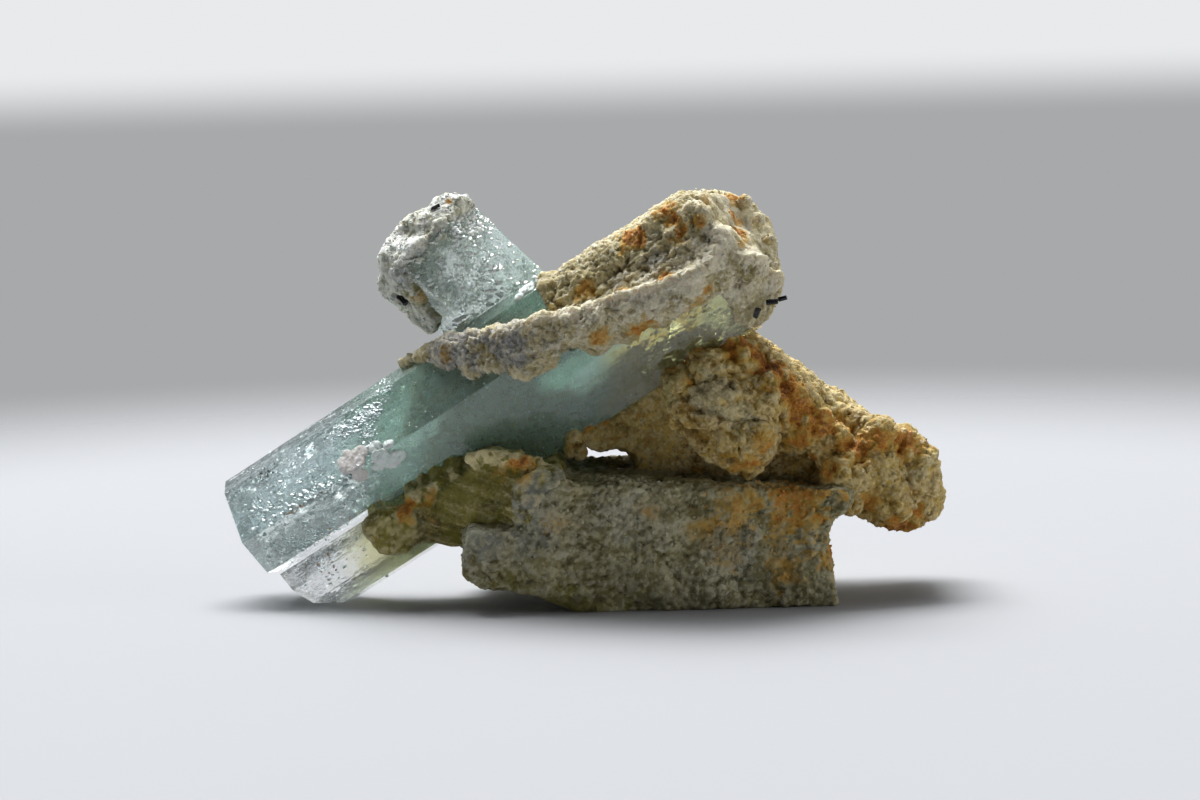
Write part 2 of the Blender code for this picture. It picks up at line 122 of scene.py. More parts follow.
def lay(add, base, colour, value, *span):
    """Lays a colour over another where a value lies in a span, or as far as the value says."""
    share = add("MapRange", SOFT, value, *span) if span else value
    return add("Mix", COLOURS, share, base, colour)


def per_mm(size):
    """The scale that gives a pattern features of this size in millimetres."""
    return 1.0 / (size * MM)


# ---- meshes ----

def new_object(name, bm):
    """A mesh object from a bmesh, which is freed."""
    mesh = bpy.data.meshes.new(name)
    bm.to_mesh(mesh)
    bm.free()
    obj = bpy.data.objects.new(name, mesh)
    bpy.context.scene.collection.objects.link(obj)
    return obj


def move_points(mesh, places, **stored):
    """Puts a mesh's points at new places and stores values on them."""
    mesh.vertices.foreach_set("co", np.array(places, dtype=np.float32).ravel())
    for name, values in stored.items():
        mesh.attributes.new(name, "FLOAT", "POINT").data.foreach_set("value", values)
    mesh.update()


def node_mesh(node):
    """A CAD node's mesh as a bmesh with its triangles joined up."""
    bm = bmesh.new()
    bm.from_mesh(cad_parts[node].data)
    for kind in (bm.loops.layers.float_vector, bm.loops.layers.int, bm.verts.layers.float_vector):
        for layer in list(kind.values()):
            kind.remove(layer)
    bmesh.ops.remove_doubles(bm, verts=bm.verts, dist=0.0005 * MM)
    return bm


def modify(obj, kind, **settings):
    """Runs one modifier and keeps what it makes."""
    mod = obj.modifiers.new(kind, kind)
    for key, value in settings.items():
        setattr(mod, key, value)
    bpy.context.view_layer.update()
    mesh = bpy.data.meshes.new_from_object(obj.evaluated_get(bpy.context.evaluated_depsgraph_get()))
    obj.modifiers.clear()
    obj.data = mesh


def join(obj, others):
    """Makes other objects part of this one."""
    with bpy.context.temp_override(active_object=obj, object=obj, selected_editable_objects=[obj] + others,
                                   selected_objects=[obj] + others):
        bpy.ops.object.join()


def tree_of(node):
    """A CAD node's faces, for finding the nearest point on them."""
    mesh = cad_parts[node].data
    return BVHTree.FromPolygons([v.co for v in mesh.vertices], [p.vertices for p in mesh.polygons])


TREES = {node: tree_of(node) for node in CRYSTALS + ROCKS}


def ease(value, low, high):
    """0 below low, 1 above high and smooth between, also when low is the larger."""
    share = min(1.0, max(0.0, (value - low) / (high - low)))
    return share * share * (3.0 - 2.0 * share)


def near_path(place, path, radius):
    """1 on a line of points and 0 a radius away from it."""
    gaps = []
    for a, b in zip(path, path[1:]):
        a, b = Vector(a), Vector(b)
        share = min(1.0, max(0.0, intersect_point_line(place, a, b)[1]))
        gaps.append((place - a.lerp(b, share)).length)
    return ease(min(gaps), radius, 0.0)


def dress(obj, mat, node=None, smooth=True):
    """Finishes a piece, which may stand for a CAD node."""
    obj.data.materials.clear()
    obj.data.materials.append(mat)
    obj.data.polygons.foreach_set("use_smooth", [smooth] * len(obj.data.polygons))
    obj.data.update()
    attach(obj, "root")
    if node:
        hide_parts(node)


# ---- swarms of small things ----

TURN = 6.28               # a whole turn, near enough for things turned at random
TRIES = 4000              # for a random place inside a crystal
TRIES_PER_GRAIN = 40      # for the grains on a face, as most tries miss it


def shape(make, ragged=0.0, seed=0, flip=False):
    """The points and triangles of a small shape, its points moved at random."""
    bm = bmesh.new()
    make(bm)
    bmesh.ops.triangulate(bm, faces=bm.faces)
    if flip:
        bmesh.ops.reverse_faces(bm, faces=bm.faces)
    bm.verts.index_update()
    rng = np.random.default_rng(seed)
    points = np.array([v.co for v in bm.verts]) + rng.uniform(-ragged, ragged, (len(bm.verts), 3))
    corners = np.array([[v.index for v in f.verts] for f in bm.faces])
    bm.free()
    return points, corners


def ball(bm):
    bmesh.ops.create_icosphere(bm, subdivisions=1, radius=1.0)


def octahedron(bm):
    bmesh.ops.create_cone(bm, segments=4, radius1=1.0, radius2=0.0, depth=1.4, cap_ends=True)


def flake(bm):
    bmesh.ops.create_cone(bm, segments=5, radius1=1.0, radius2=0.8, depth=1.0, cap_ends=True)


def lens(bm):
    bmesh.ops.create_uvsphere(bm, u_segments=9, v_segments=4, radius=1.0)


GRAINS = [shape(ball, 0.12, seed) for seed in range(8)]
FLAKES = [shape(flake, 0.10, seed) for seed in range(50, 56)]
CRUMBS = [shape(octahedron, 0.30, seed) for seed in range(20, 26)]
SHARDS = [shape(lens, 0.20, seed, flip=True) for seed in range(30, 42)]


def swarm(name, shapes, matrices, values=None):
    """One mesh of many small copies, each with its own matrix and, where given, its host's values."""
    matrices = np.array([np.array(m) for m in matrices])
    kinds = np.arange(len(matrices)) % len(shapes)
    points, corners, hosts, start = [], [], [], 0
    for kind, (local, triangles) in enumerate(shapes):
        chosen = np.flatnonzero(kinds == kind)
        placed = np.einsum("nij,vj->nvi", matrices[chosen, :3, :3], local) + matrices[chosen, None, :3, 3]
        points.append(placed.reshape(-1, 3))
        offsets = start + np.arange(len(chosen)) * len(local)
        corners.append((triangles[None] + offsets[:, None, None]).reshape(-1, 3))
        hosts.append(np.repeat(chosen, len(local)))
        start += len(chosen) * len(local)
    points, corners, hosts = np.concatenate(points), np.concatenate(corners), np.concatenate(hosts)
    mesh = bpy.data.meshes.new(name)
    mesh.vertices.add(len(points))
    mesh.vertices.foreach_set("co", points.ravel())
    mesh.loops.add(corners.size)
    mesh.loops.foreach_set("vertex_index", corners.ravel())
    mesh.polygons.add(len(corners))
    mesh.polygons.foreach_set("loop_start", np.arange(0, corners.size, 3))
    mesh.update(calc_edges=True)
    for key, host_values in (values or {}).items():
        stored = mesh.attributes.new(key, "FLOAT", "POINT")
        stored.data.foreach_set("value", np.asarray(host_values)[hosts])
    obj = bpy.data.objects.new(name, mesh)
    bpy.context.scene.collection.objects.link(obj)
    return obj


def grain_size(rng, smallest, largest):
    """Mostly small and seldom large."""
    return smallest + (largest - smallest) * rng.random() ** 2


def pose(rng, centre, sizes, normal=None, jitter=0.25):
    """A matrix that sets a small thing at a place, turned at random or with its short side along a normal."""
    if normal is None:
        turn = Euler([rng.uniform(0, TURN) for _ in range(3)]).to_matrix()
    else:
        lean = (Vector(normal) + Vector([rng.gauss(0, jitter) for _ in range(3)])).normalized()
        turn = lean.to_track_quat("Z", "Y").to_matrix() @ Matrix.Rotation(rng.uniform(0, TURN), 3, "Z")
    return Matrix.Translation(centre) @ (turn @ Matrix.Diagonal(sizes)).to_4x4()


def inside(tree, place, room):
    """Whether a point lies in a closed mesh, at least so far from its skin."""
    near, normal, _, gap = tree.find_nearest(place)
    return gap > room and (place - near).dot(normal) < 0.0


def scatter_inside(node, rng, room, keep=None):
    """A random point inside a crystal."""
    low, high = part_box(node)
    for _ in range(TRIES):
        place = Vector([rng.uniform(a, b) for a, b in zip(low, high)])
        if (keep is None or keep(place / MM)) and inside(TREES[node], place, room):
            return place
    raise RuntimeError("no room inside the crystal")


# ---- feldspar ----

REACH = 0.85              # feldspar this near a neighbour grows to meet it
TOUCH = 0.42              # and is pulled all the way within this
SINK = 0.07               # how far it then runs into the crystal
HOLD = 0.85               # how much of its pits it loses where it is held
HELD = 0.25               # and it is held where it moved this far
MIDDLE = 0.6              # the mean height of packed knobs
COAT = 0.75               # thickness of the feldspar behind the main prism
FILM_RELIEF = 0.11        # height of the grain on a film of feldspar
KNOB_SEED = 1             # without it the knobs would wander anew on each run


def grow_together(place, normal, node):
    """How a point on the side that faces a neighbour moves, so that the rock holds the crystals."""
    push = Vector()
    for name, tree in TREES.items():
        if name == node:
            continue
        near, _, _, gap = tree.find_nearest(place, REACH * MM)
        if near is None or gap < 1e-9:
            continue
        share = 1.0 if name in CRYSTALS else 0.5
        facing = ease((near - place).dot(normal) / gap, -0.1, 0.5)
        step = (near - place) * (share + SINK * MM / gap) * ease(gap / MM, REACH, TOUCH) * facing
        if step.length > push.length:
            push = step
    return push


def knob(place, size, seed):
    """Round knobs packed side by side: 1 on top of one, 0 in the crease between two."""
    at = place / size + Vector((seed * 7.1, seed * 3.7, seed * 5.3))
    near = noise.voronoi(at + noise.noise_vector(at * 1.3) * 0.35)[0][0]
    return math.sqrt(max(0.0, 1.0 - (near / 0.85) ** 2))


def packed(place, *kinds):
    """Several sizes of knobs at once, each as much above 0 as below."""
    return [knob(place, size, seed) - MIDDLE for size, seed in kinds]


def grit(place, size, seed):
    """Rough grain from -1 to 1."""
    return noise.fractal(place / size + Vector((seed * 2.9, seed * 8.3, seed * 4.1)), 0.8, 2.2, 3)


def spot(place, x, y, z, inner, outer):
    """1 near a point and 0 beyond the outer radius."""
    return ease((place - Vector((x, y, z))).length, outer, inner)


def block_relief(place, normal):
    """Crumbly grain in faint level layers, with a smooth chip at the lower left and a smooth lower rim."""
    chip = spot(place, -6.4, -7.0, 4.6, 1.0, 1.9)
    rim = ease(place.z, 1.5, 0.8) * ease(place.x, 2.0, -1.0) if place.y < -5.0 else 0.0
    rough = 1.0 - max(chip, rim)
    layers = grit(Vector((place.x / 5.0, place.y / 3.0, (place.z - 0.05 * place.x) / 0.5)), 1.0, 2)
    lumps, flakes, grains = packed(place, (1.3, 1), (0.62, 4), (0.34, 2))
    fine = grit(place, 0.3, 3)
    push = rough * (0.10 * layers + 0.08 * lumps + 0.12 * flakes + 0.12 * grains + 0.08 * fine)
    return push, rough * (0.5 * flakes + 0.5 * grains + 0.3 * lumps + 0.4 * fine + 0.2 * layers)


ARM_CLUSTERS = (
    (6.6, -6.2, 13.2, 1.5, 0.45), (8.8, -6.9, 12.8, 1.6, 0.5), (10.8, -6.6, 11.4, 1.6, 0.5),
    (9.6, -6.8, 9.8, 1.3, 0.4), (12.4, -5.4, 13.2, 1.5, 0.35), (14.0, -4.6, 10.8, 1.3, 0.4),
    (16.0, -4.2, 11.0, 1.5, 0.35), (18.6, -4.2, 10.0, 1.6, 0.35), (19.8, -4.4, 6.6, 1.7, 0.35),
    (21.4, -3.2, 8.6, 1.2, 0.4), (13.4, -4.8, 8.6, 1.1, 0.35))
ARM_GROOVES = (
    ((3.2, -5.0, 12.9), (5.8, -6.2, 11.4), (8.2, -6.8, 10.6), (10.4, -6.6, 8.3)),
    ((12.4, -5.6, 12.2), (12.6, -5.2, 9.6), (13.4, -4.6, 7.2)),
    ((9.8, -5.4, 15.4), (11.2, -5.4, 12.8), (12.0, -5.4, 11.8)))


def arm_relief(place, normal):
    """Clusters of round knobs with deep creases, smooth below the crystal at the left."""
    smooth = spot(place, 3.6, -3.4, 10.6, 1.6, 3.4) if place.y < 0 else 0.0
    rough = 1.0 - smooth
    push = 0.0
    for x, y, z, radius, height in ARM_CLUSTERS:
        gap = (place - Vector((x, y, z))).length / radius
        if gap < 1.0:
            push = max(push, height * math.sqrt(1.0 - gap * gap))
    groove = max(near_path(place, path, 0.55) for path in ARM_GROOVES) if place.y < -2.5 else 0.0
    lumps, knobs, grains = packed(place, (1.5, 5), (0.75, 22), (0.36, 6))
    fine = grit(place, 0.3, 7)
    push += rough * (0.30 * lumps + 0.42 * knobs + 0.22 * grains + 0.09 * fine) + smooth * 0.04 * fine
    height = rough * (0.3 * lumps + 0.6 * knobs + 0.45 * grains + 0.4 * fine) + smooth * (0.15 + 0.1 * fine)
    return push - 0.45 * groove, height - groove


def wedge_relief(place, normal):
    """Fine cleavage steps that run down to the right, and granular ends."""
    across = place.z * 0.955 + place.x * 0.295 + 0.12 * noise.noise(place / 1.7)
    coarse, fine = (across / 0.83) % 1.0, (across / 0.27) % 1.0
    split = grit(Vector((place.x / 3.0, place.y, across / 0.22)), 1.0, 23)
    granular = max(ease(place.x, -4.6, -3.4), ease(place.x, -9.4, -10.4), ease(place.z, 9.0, 9.5))
    bed = 0.07 * (coarse - 0.5) + 0.05 * (fine - 0.5) + 0.06 * split
    lumps, knobs, grains = packed(place, (1.1, 9), (0.55, 24), (0.3, 10))
    push = bed * (1.0 - granular) + (0.18 * lumps + 0.18 * knobs + 0.10 * grains) * granular
    height = (lumps * 0.3 + knobs * 0.5 + grains * 0.4) * granular
    return push, height + (0.05 + 0.2 * (coarse - 0.5) + 0.4 * split) * (1.0 - granular)


BAND_CREST = (
    (-7.0, -4.4, 17.1), (-4.0, -5.4, 17.7), (-0.5, -6.3, 18.5), (2.0, -6.5, 19.2), (4.5, -6.9, 20.0),
    (6.2, -7.2, 20.5), (7.5, -7.4, 20.9), (8.6, -7.2, 21.8), (9.2, -6.9, 22.8), (8.9, -6.4, 23.8), (8.2, -6.0, 24.5),
    (7.3, -5.4, 25.0))
CAP_CREST = ((9.2, -6.8, 22.6), (10.2, -6.5, 21.9), (11.2, -6.0, 21.7), (12.3, -5.2, 21.2), (12.6, -4.8, 20.2))
BAND_TROUGH = (
    (-2.0, -3.8, 18.9), (0.9, -4.7, 20.2), (2.8, -5.3, 21.1), (4.7, -5.5, 22.0), (6.6, -6.1, 22.6), (7.4, -6.0, 23.6))
CAP_HOLLOWS = (
    (6.0, -4.9, 24.0, 0.9, 0.35), (6.7, -5.4, 23.7, 0.7, 0.25), (5.4, -4.6, 23.4, 0.7, 0.2),
    (10.2, -6.4, 20.4, 1.0, 0.3), (8.4, -6.9, 20.0, 0.9, 0.2))


def crust_relief(place, normal):
    """A sugary rim along the prism with a trough of small nodules behind it, and a ridged flat end."""
    along = place.dot(AXIS)
    flat_end = ease(normal.dot(Vector((0.76, -0.54, 0.36))), 0.55, 0.85) * ease(place.x, 7.6, 8.6)
    flat_end *= ease(place.z, 21.6, 22.4)
    crest = max(near_path(place, BAND_CREST, 0.7), near_path(place, CAP_CREST, 0.6))
    trough = near_path(place, BAND_TROUGH, 1.8) * (1.0 - crest)
    hollow = max(spot(place, x, y, z, 0.2, radius) * depth for x, y, z, radius, depth in CAP_HOLLOWS)
    rows = noise.noise(Vector((along / 2.4, (place.z - 0.63 * place.x) / 0.45, place.y / 1.5)))
    lumps, nodules, grains = packed(place, (1.25, 11), (0.6, 12), (0.32, 13))
    sugar = grit(place, 0.22, 14)
    ridges = math.sin((place.x * 0.5 - place.y * 0.3 + place.z * 0.35) / 0.10 + 2.5 * noise.noise(place / 1.8))
    lilac = ease(place.x, -2.0, -4.0)
    push = (0.08 + 0.16 * lilac) * lumps + (0.12 + 0.22 * trough + 0.12 * lilac) * nodules
    push += (0.13 + 0.06 * trough + 0.04 * lilac) * grains + 0.13 * sugar
    push += trough * (0.22 * rows - 0.34) + 0.40 * crest * (1.0 - lilac) - hollow
    push = push * (1.0 - flat_end) + flat_end * (0.06 * ridges + 0.07 * grit(place, 0.6, 15))
    height = 0.3 * lumps * lilac + 0.5 * nodules * (1 - crest) + 0.35 * grains + 0.3 * sugar
    height += 0.45 * crest - 0.25 * trough - hollow
    return push, height * (1.0 - flat_end) + flat_end * (0.15 * ridges + 0.15)


def druse_relief(place, normal):
    """Small crystals side by side."""
    lumps, knobs, grains = packed(place, (1.0, 16), (0.5, 25), (0.28, 17))
    sugar = grit(place, 0.25, 18)
    push = 0.16 * lumps + 0.20 * knobs + 0.10 * grains + 0.06 * sugar
    return push, lumps * 0.3 + knobs * 0.5 + grains * 0.4 + 0.3 * sugar


def backing_relief(place, normal):
    """A lumpy coat."""
    lumps, grains = packed(place, (1.3, 19), (0.5, 20))
    return 0.24 * lumps + 0.14 * grains + 0.05 * grit(place, 0.4, 21), lumps * 0.5 + grains * 0.5


def strength(place, spots):
    """How strong a tint is at a place: each spot is x, y, z, radius and strength."""
    total = 0.0
    ragged = 1.0 + 0.8 * noise.fractal(place / 0.7, 1.0, 2.0, 3)
    for x, y, z, radius, amount in spots:
        away = (place - Vector((x, y, z))).length / (radius * ragged)
        if away < 1.0:
            total = max(total, amount * (1.0 - away * away))
    return total


TINTS = ("rust", "grey", "pale", "olive")


def carve(obj, node, relief, tints):
    """Grows a rock onto its neighbours and gives it its relief; stores its depth and tints on its points."""
    mesh = obj.data
    normals = [n.vector.copy() for n in mesh.vertex_normals]
    placed, depth = [], []
    stored = {name: [] for name in TINTS}
    for vert, normal in zip(mesh.vertices, normals):
        move = grow_together(vert.co, normal, node)
        base = (vert.co + move) / MM
        push, height = relief(base, normal)
        if push < 0.0:
            push *= 1.0 - HOLD * min(1.0, move.length / (HELD * MM))
        final = base + normal * push
        final.z = max(0.0, final.z)
        placed.append(final * MM)
        depth.append(0.5 - height)
        for name in TINTS:
            stored[name].append(strength(base, tints.get(name, ())))
    move_points(mesh, placed, depth=depth, **stored)


def sow(obj, count, smallest, largest, seed, where=None):
    """Grains half sunk in a rock's surface."""
    rng = random.Random(seed)
    mesh = obj.data
    hosts = [v.index for v in mesh.vertices if v.co.z > 0.1 * MM and (where is None or where(v.co / MM))]
    hosts = rng.sample(hosts, min(count, len(hosts)))
    matrices = []
    for index in hosts:
        size = rng.uniform(smallest, largest) * MM / 2
        normal = mesh.vertex_normals[index].vector
        sizes = [size * rng.uniform(0.8, 1.7), size * rng.uniform(0.7, 1.0), size * rng.uniform(0.5, 0.8)]
        matrices.append(pose(rng, mesh.vertices[index].co, sizes, normal, 0.4))
    values = {}
    for name in ("depth",) + TINTS:
        data = np.zeros(len(mesh.vertices), dtype=np.float32)
        mesh.attributes[name].data.foreach_get("value", data)
        values[name] = data[hosts]
    # the grains stand proud, so they take less painted crease shade and gathered ochre, and more painted highlight
    values["depth"] = values["depth"] * 0.6
    return swarm(obj.name + "_grains", GRAINS, matrices, values)


def feldspar(node, name, voxel, relief, tints, lumps, grains):
    """A rock: the solid's skin softened, grown to its neighbours, carved and sown with grains."""
    bm = node_mesh(node)
    for x, y, z, radius in lumps:
        bmesh.ops.create_icosphere(bm, subdivisions=2, radius=radius * MM,
                                   matrix=Matrix.Translation(Vector((x, y, z)) * MM))
    obj = new_object(name, bm)
    modify(obj, "REMESH", mode="VOXEL", voxel_size=voxel * COARSER * MM)
    modify(obj, "SMOOTH", factor=0.5, iterations=4)
    carve(obj, node, relief, tints)
    join(obj, [sow(obj, *grains)])
    return obj


# Lumps that thicken thin places: x, y, z and radius.
CAP_LUMPS = (
    (7.9, -3.4, 25.1, 0.6), (8.2, -3.0, 24.8, 0.6), (8.5, -3.2, 24.5, 0.6), (8.9, -3.1, 24.0, 0.6),
    (9.2, -3.3, 23.6, 0.6), (8.6, -2.2, 25.1, 0.5), (9.0, -2.2, 24.7, 0.5), (9.4, -2.4, 24.0, 0.5),
    (10.9, -0.5, 24.9, 0.45), (11.7, -1.1, 23.8, 0.45), (12.3, -1.9, 22.6, 0.45))
ARM_LUMPS = (
    (-0.3, -3.0, 10.4, 0.5), (-0.45, -3.0, 9.8, 0.42), (0.0, -3.0, 9.6, 0.36), (0.9, -3.0, 10.75, 0.45),
    (1.8, -3.2, 10.8, 0.45), (2.7, -3.4, 10.7, 0.45))
WEDGE_LUMPS = (
    (-10.3, -3.1, 6.8, 0.75), (-9.5, -3.2, 7.3, 0.75), (-8.7, -3.2, 7.8, 0.75), (-7.8, -3.3, 8.3, 0.75),
    (-6.8, -4.5, 9.5, 0.42), (-6.1, -4.8, 9.6, 0.42), (-5.4, -5.1, 9.6, 0.45), (-4.7, -5.3, 9.5, 0.45),
    (-4.0, -5.5, 9.4, 0.45), (-3.3, -5.7, 9.3, 0.42), (-2.7, -5.8, 9.2, 0.4), (-12.9, -3.6, 5.2, 0.9),
    (-12.2, -3.7, 4.4, 1.0), (-11.3, -3.7, 4.4, 0.9), (-10.9, -3.6, 5.4, 0.9))

# Where each tint lies on each rock: x, y, z, radius and strength.
BLOCK_TINTS = {
    "rust": (
        (13.4, -7.0, 6.8, 3.0, 0.75), (9.5, -7.2, 6.4, 2.2, 0.55), (15.8, -5.5, 3.5, 2.4, 0.8),
        (12.5, -7.2, 2.5, 1.8, 0.5), (9.0, -7.3, 3.5, 1.5, 0.35), (4.2, -7.4, 6.2, 1.4, 0.35),
        (7.6, -7.4, 5.0, 1.4, 0.4), (-1.5, -7.0, 5.6, 1.4, 0.3), (12.0, -7.2, 4.4, 1.3, 0.4),
        (15.0, 0.0, 6.5, 4.0, 0.6), (7.0, 4.0, 5.0, 4.0, 0.3)),
    "grey": (
        (-6.4, -7.0, 4.6, 2.2, 1.0), (-3.0, -6.8, 5.4, 3.0, 0.8), (3.0, -7.5, 6.0, 3.2, 0.6),
        (9.5, -7.2, 3.4, 3.0, 0.6), (13.0, -7.0, 3.0, 2.0, 0.4)),
    "pale": (
        (5.0, -7.5, 4.8, 1.3, 0.5), (8.2, -7.4, 2.0, 1.6, 0.5), (2.0, -7.4, 5.6, 1.2, 0.4),
        (10.2, -7.3, 5.6, 0.9, 0.6), (3.6, -7.5, 5.2, 0.8, 0.6)),
    "olive": ((-4.5, -6.6, 1.2, 2.4, 0.9), (-1.2, -7.2, 0.5, 2.4, 0.9), (2.4, -7.4, 0.2, 2.2, 0.7)),
}
ARM_TINTS = {
    "rust": (
        (9.6, -5.1, 16.0, 1.0, 1.0), (10.5, -4.6, 16.2, 1.1, 1.2), (11.3, -4.7, 15.4, 1.3, 1.3),
        (12.0, -4.9, 14.5, 1.4, 1.3), (12.9, -5.5, 13.4, 1.5, 1.2), (13.8, -5.5, 12.4, 1.5, 1.1),
        (14.8, -5.3, 11.1, 1.5, 1.0), (13.8, -5.5, 10.2, 1.1, 0.8), (16.4, -3.6, 10.6, 1.3, 0.7),
        (17.3, -4.9, 9.5, 1.3, 1.0), (18.8, -4.7, 10.0, 1.2, 0.9), (20.4, -4.3, 9.6, 1.4, 0.9),
        (18.1, -4.9, 6.3, 1.1, 0.6), (20.1, -3.5, 4.4, 1.9, 1.0), (11.5, -6.9, 10.2, 0.9, 0.8),
        (10.3, -6.5, 9.2, 1.3, 0.8), (15.6, -5.9, 8.4, 0.9, 0.8), (7.0, -5.9, 13.9, 0.6, 0.7),
        (14.5, -5.0, 9.0, 0.7, 1.4), (3.2, -5.4, 13.0, 0.8, 0.8), (8.0, 5.0, 14.0, 5.0, 0.5),
        (0.5, -3.6, 11.2, 0.7, 1.2), (1.6, -3.8, 11.8, 0.6, 1.2), (2.6, -4.0, 12.4, 0.6, 1.2),
        (3.7, -4.2, 13.0, 0.6, 1.2), (4.8, -4.3, 13.7, 0.6, 1.2), (5.9, -4.5, 14.3, 0.6, 1.2),
        (7.0, -4.7, 15.0, 0.6, 1.2), (8.0, -4.8, 15.6, 0.6, 1.2), (8.8, -4.9, 16.1, 0.6, 1.2)),
    "grey": (
        (8.4, -6.9, 13.4, 1.9, 0.9), (10.2, -6.6, 12.2, 1.6, 0.8), (11.6, -6.2, 10.2, 1.3, 0.7),
        (20.6, -3.6, 7.8, 1.5, 0.7), (18.8, -4.0, 7.8, 1.4, 0.6)),
    "pale": (
        (15.0, 0.0, 13.4, 3.2, 0.8), (19.0, 0.5, 10.4, 3.0, 0.7), (13.2, -2.4, 15.2, 1.8, 0.7),
        (16.4, -2.4, 12.8, 1.8, 0.7)),
    "olive": (
        (5.6, -5.6, 13.4, 1.2, 0.8), (8.0, -5.6, 14.8, 1.1, 0.8), (3.0, -3.6, 10.6, 3.4, 0.4),
        (13.2, -5.0, 8.6, 1.1, 0.8), (16.6, -4.2, 9.9, 0.8, 0.7)),
}
WEDGE_TINTS = {
    "rust": (
        (-3.6, -5.8, 9.3, 0.7, 1.2), (-2.8, -5.9, 9.2, 0.6, 1.0), (-11.1, -3.8, 6.1, 1.0, 1.0),
        (-12.4, -3.4, 4.6, 1.2, 0.5), (-4.0, -5.6, 9.2, 0.8, 1.0), (-9.4, -3.6, 6.8, 0.8, 0.7),
        (-5.0, -5.6, 8.6, 1.0, 0.4), (-3.4, -6.4, 8.4, 0.7, 0.6)),
    "grey": ((-2.4, -6.8, 6.8, 2.2, 1.0), (-1.6, -6.6, 8.0, 1.4, 0.8), (-4.2, -6.2, 5.0, 1.4, 0.8)),
    "pale": (
        (-6.6, -4.6, 9.7, 0.8, 1.5), (-5.8, -4.9, 9.8, 0.9, 1.6), (-4.8, -5.3, 9.7, 0.9, 1.6),
        (-3.9, -5.6, 9.6, 0.8, 1.5), (-3.0, -5.8, 9.4, 0.8, 1.3), (-2.2, -5.8, 9.3, 0.7, 1.1),
        (-11.5, -3.6, 6.3, 0.6, 0.6), (-10.3, -3.8, 7.1, 0.6, 0.7), (-9.3, -3.9, 7.7, 0.6, 0.7),
        (-8.2, -4.0, 8.4, 0.6, 0.7)),
    "olive": ((-7.5, -5.0, 7.2, 3.2, 1.0), (-11.8, -3.8, 4.6, 2.0, 0.8), (-9.6, -3.6, 6.6, 1.6, 0.9)),
}
CRUST_TINTS = {
    "rust": (
        (5.8, -4.2, 24.7, 1.0, 1.0), (6.2, -5.0, 24.2, 1.0, 1.0), (3.6, -4.2, 23.0, 1.3, 1.0),
        (6.5, -5.7, 23.4, 0.9, 0.8), (7.6, -6.3, 24.1, 0.7, 0.7), (8.1, -3.2, 25.1, 0.7, 0.9),
        (10.1, -0.6, 25.2, 0.9, 0.9), (10.1, -1.7, 24.0, 0.8, 1.0), (10.4, -3.0, 23.2, 0.8, 1.0),
        (10.9, -4.2, 22.4, 0.7, 0.9), (10.4, -6.2, 22.7, 0.5, 0.6), (12.0, -4.6, 21.0, 0.7, 0.8),
        (5.6, -6.5, 20.7, 0.8, 0.8), (3.2, -6.2, 19.9, 0.8, 0.7), (1.4, -7.1, 17.1, 0.9, 0.7),
        (4.1, -6.5, 17.6, 1.1, 0.8), (0.4, -4.6, 19.8, 1.0, 0.7), (8.3, -7.2, 19.9, 0.5, 0.6),
        (7.6, -6.9, 18.9, 0.8, 0.6), (-4.6, -4.6, 16.6, 0.7, 0.5), (-8.4, -3.2, 15.8, 0.8, 0.5)),
    "grey": (
        (-7.8, -3.2, 16.4, 3.0, 1.0), (-4.0, -4.8, 16.8, 2.4, 1.0), (-1.4, -5.8, 17.2, 1.6, 0.5),
        (5.0, -5.8, 21.8, 1.3, 0.6), (2.4, -5.2, 20.6, 1.0, 0.5)),
    "pale": (
        (0.4, -6.4, 18.8, 2.2, 0.8), (4.1, -7.0, 19.8, 2.6, 1.0), (6.8, -7.3, 20.6, 2.2, 1.1),
        (8.3, -7.0, 22.0, 1.6, 1.1), (9.0, -6.6, 23.2, 1.5, 1.1), (11.4, -6.0, 21.6, 1.6, 1.0),
        (10.6, -1.6, 24.0, 3.0, 0.6), (9.9, -6.3, 19.8, 1.4, 0.8), (12.2, -5.6, 19.8, 0.9, 0.8)),
    "olive": (
        (10.8, -6.6, 21.2, 0.9, 0.8), (6.0, -4.6, 24.4, 1.2, 0.9), (3.4, -4.4, 22.6, 1.3, 0.8),
        (1.5, -5.4, 19.3, 1.0, 0.6), (5.2, -7.2, 19.0, 1.0, 0.4), (9.2, -6.6, 20.8, 0.9, 0.5)),
}
DRUSE_TINTS = {
    "rust": (
        (-9.9, 0.6, 19.5, 0.7, 0.6), (-8.0, 1.7, 25.3, 0.4, 0.7), (-8.9, 2.0, 23.5, 0.6, 0.6),
        (-8.6, 0.4, 17.6, 0.9, 0.6)),
    "grey": ((-11.2, 0.2, 20.8, 1.3, 0.8),),
    "pale": ((-8.8, 2.5, 25.4, 2.2, 1.0), (-12.2, 2.0, 22.6, 2.2, 1.0), (-10.4, 0.6, 22.6, 1.4, 0.8)),
    "olive": (
        (-10.0, 0.6, 19.6, 1.4, 1.1), (-8.9, 0.2, 18.8, 1.2, 1.0), (-8.4, 0.6, 17.6, 1.2, 1.1),
        (-11.5, 0.2, 20.6, 0.9, 0.8), (-9.2, 0.2, 22.6, 0.7, 0.6)),
}
BACKING_TINTS = {
    "rust": ((-10.0, 3.0, 13.0, 2.0, 0.6), (0.0, 3.0, 15.0, 2.5, 0.6)),
    "olive": ((-6.0, 2.0, 10.0, 4.0, 0.6), (4.0, 2.0, 16.0, 4.0, 0.6)),
}


# The coat behind the main prism is cut off here: a point and the way out.
COAT_ENDS = (((-12.2, 0, 0), (-1, 0.0, 0.25)), ((9.5, 0, 0), (1, 0, 0.3)), ((0, 0.9, 0), (0.1, -1, 0.1)))


